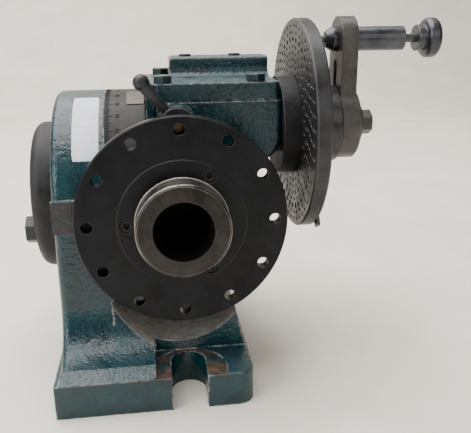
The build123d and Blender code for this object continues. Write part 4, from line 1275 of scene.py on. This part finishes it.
@dataclass
class Studio:
    """A plain pale floor swept up behind, three soft lights and the camera."""

    lens: float = 47.41
    sensor: float = 36.0
    nearest: float = 0.01
    camera_at: Point = (-0.01818, -0.51651, 0.2690)
    right: Point = (0.9907, -0.1358, -0.0095)
    up: Point = (0.0505, 0.3022, 0.9519)
    floor_reach: float = 5.0
    floor_back: float = 1.3
    sweep_radius: float = 0.7
    sweep_steps: int = 24
    wall_top: float = 3.0
    room: str = "#d8d6d3"
    room_strength: float = 0.3
    lights: tuple[SoftLight, ...] = (
        SoftLight("overhead", spot=(-0.4, 0.35, 1.8), aim=(0, 0.1, 0.1), side=2.2, watts=108,
                  tint="#fffdfa"),
        SoftLight("window", spot=(-1.5, -0.9, 0.9), aim=(0, 0, 0.12), side=0.9, watts=19,
                  tint="#f8f9ff"),
        SoftLight("front_fill", spot=(0.7, -1.7, 1.0), aim=(0, 0, 0.12), side=1.2, watts=9,
                  tint="#fffaf3"))

    def floor(self) -> None:
        """Lay the floor and sweep it up into a wall behind."""
        outline = [(-self.floor_reach, 0.0), (self.floor_back, 0.0)]
        for step in range(1, self.sweep_steps + 1):
            angle = QUARTER * step / self.sweep_steps
            outline.append((self.floor_back + self.sweep_radius * math.sin(angle),
                            self.sweep_radius * (1 - math.cos(angle))))
        outline.append((self.floor_back + self.sweep_radius, self.wall_top))
        shape = bmesh.new()
        rows = [[shape.verts.new((x, y, z)) for x in (-self.floor_reach, self.floor_reach)]
                for y, z in outline]
        for lower, upper in zip(rows, rows[1:]):
            shape.faces.new((lower[0], lower[1], upper[1], upper[0]))
        floor = mesh_piece("floor", shape)
        floor.data.materials.append(CreasedPaper("creased_white_backing_paper").material())

    def camera(self) -> None:
        """Set the camera at its viewing angle."""
        data = bpy.data.cameras.new("camera")
        data.lens = self.lens
        data.sensor_fit = "HORIZONTAL"
        data.sensor_width = self.sensor
        data.clip_start = self.nearest
        across, upward = Vector(self.right).normalized(), Vector(self.up).normalized()
        back = across.cross(upward).normalized()
        pose = Matrix((across, back.cross(across), back)).transposed().to_4x4()
        pose.translation = Vector(self.camera_at)
        holder = linked("camera", data)
        holder.matrix_world = pose
        bpy.context.scene.camera = holder

    def build(self) -> None:
        """Set the floor, the lights, the room's own light and the camera."""
        self.floor()
        for light in self.lights:
            light.hang()
        world = bpy.data.worlds.new("soft_room")
        world.use_nodes = True
        sky = world.node_tree.nodes["Background"]
        sky.inputs["Color"].default_value = linear(self.room)
        sky.inputs["Strength"].default_value = self.room_strength
        bpy.context.scene.world = world
        self.camera()


def main() -> None:
    """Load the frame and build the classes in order."""
    logging.basicConfig(level=logging.INFO, format="%(message)s")
    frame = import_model()
    places = Places.read(frame["joints"])
    finishes = Finishes(places)
    Studio().build()
    Dress(finishes, frame["nodes"]).apply()
    Graduations(finishes, places).build()
    BentTag("blank_rim_label", places, finishes.label, left=-76.0 * MM, right=-57.0 * MM,
            start=30.0, end=74.0, thickness=0.12 * MM, body="base", slot="gasket_paper").build()
    BentTag("blank_zero_tag", places, finishes.tag, left=-36.5 * MM, right=-23.2 * MM,
            start=65.5, end=82.0, thickness=0.5 * MM, body="head", slot="ground_steel").build()
    DrumWeb(finishes, places).build()
    DrilledIndexPlate(finishes, places).build()
    CoilSpring("plunger_spring", "crank", finishes.bolts, turns=9.0, wire=1.3 * MM).build()
    CoilSpring("direct_pin_spring", "head", finishes.bolts, turns=3.5, wire=0.7 * MM,
               joint="pin_slide", keep=0.36).build()


if __name__ == "__main__":
    main()
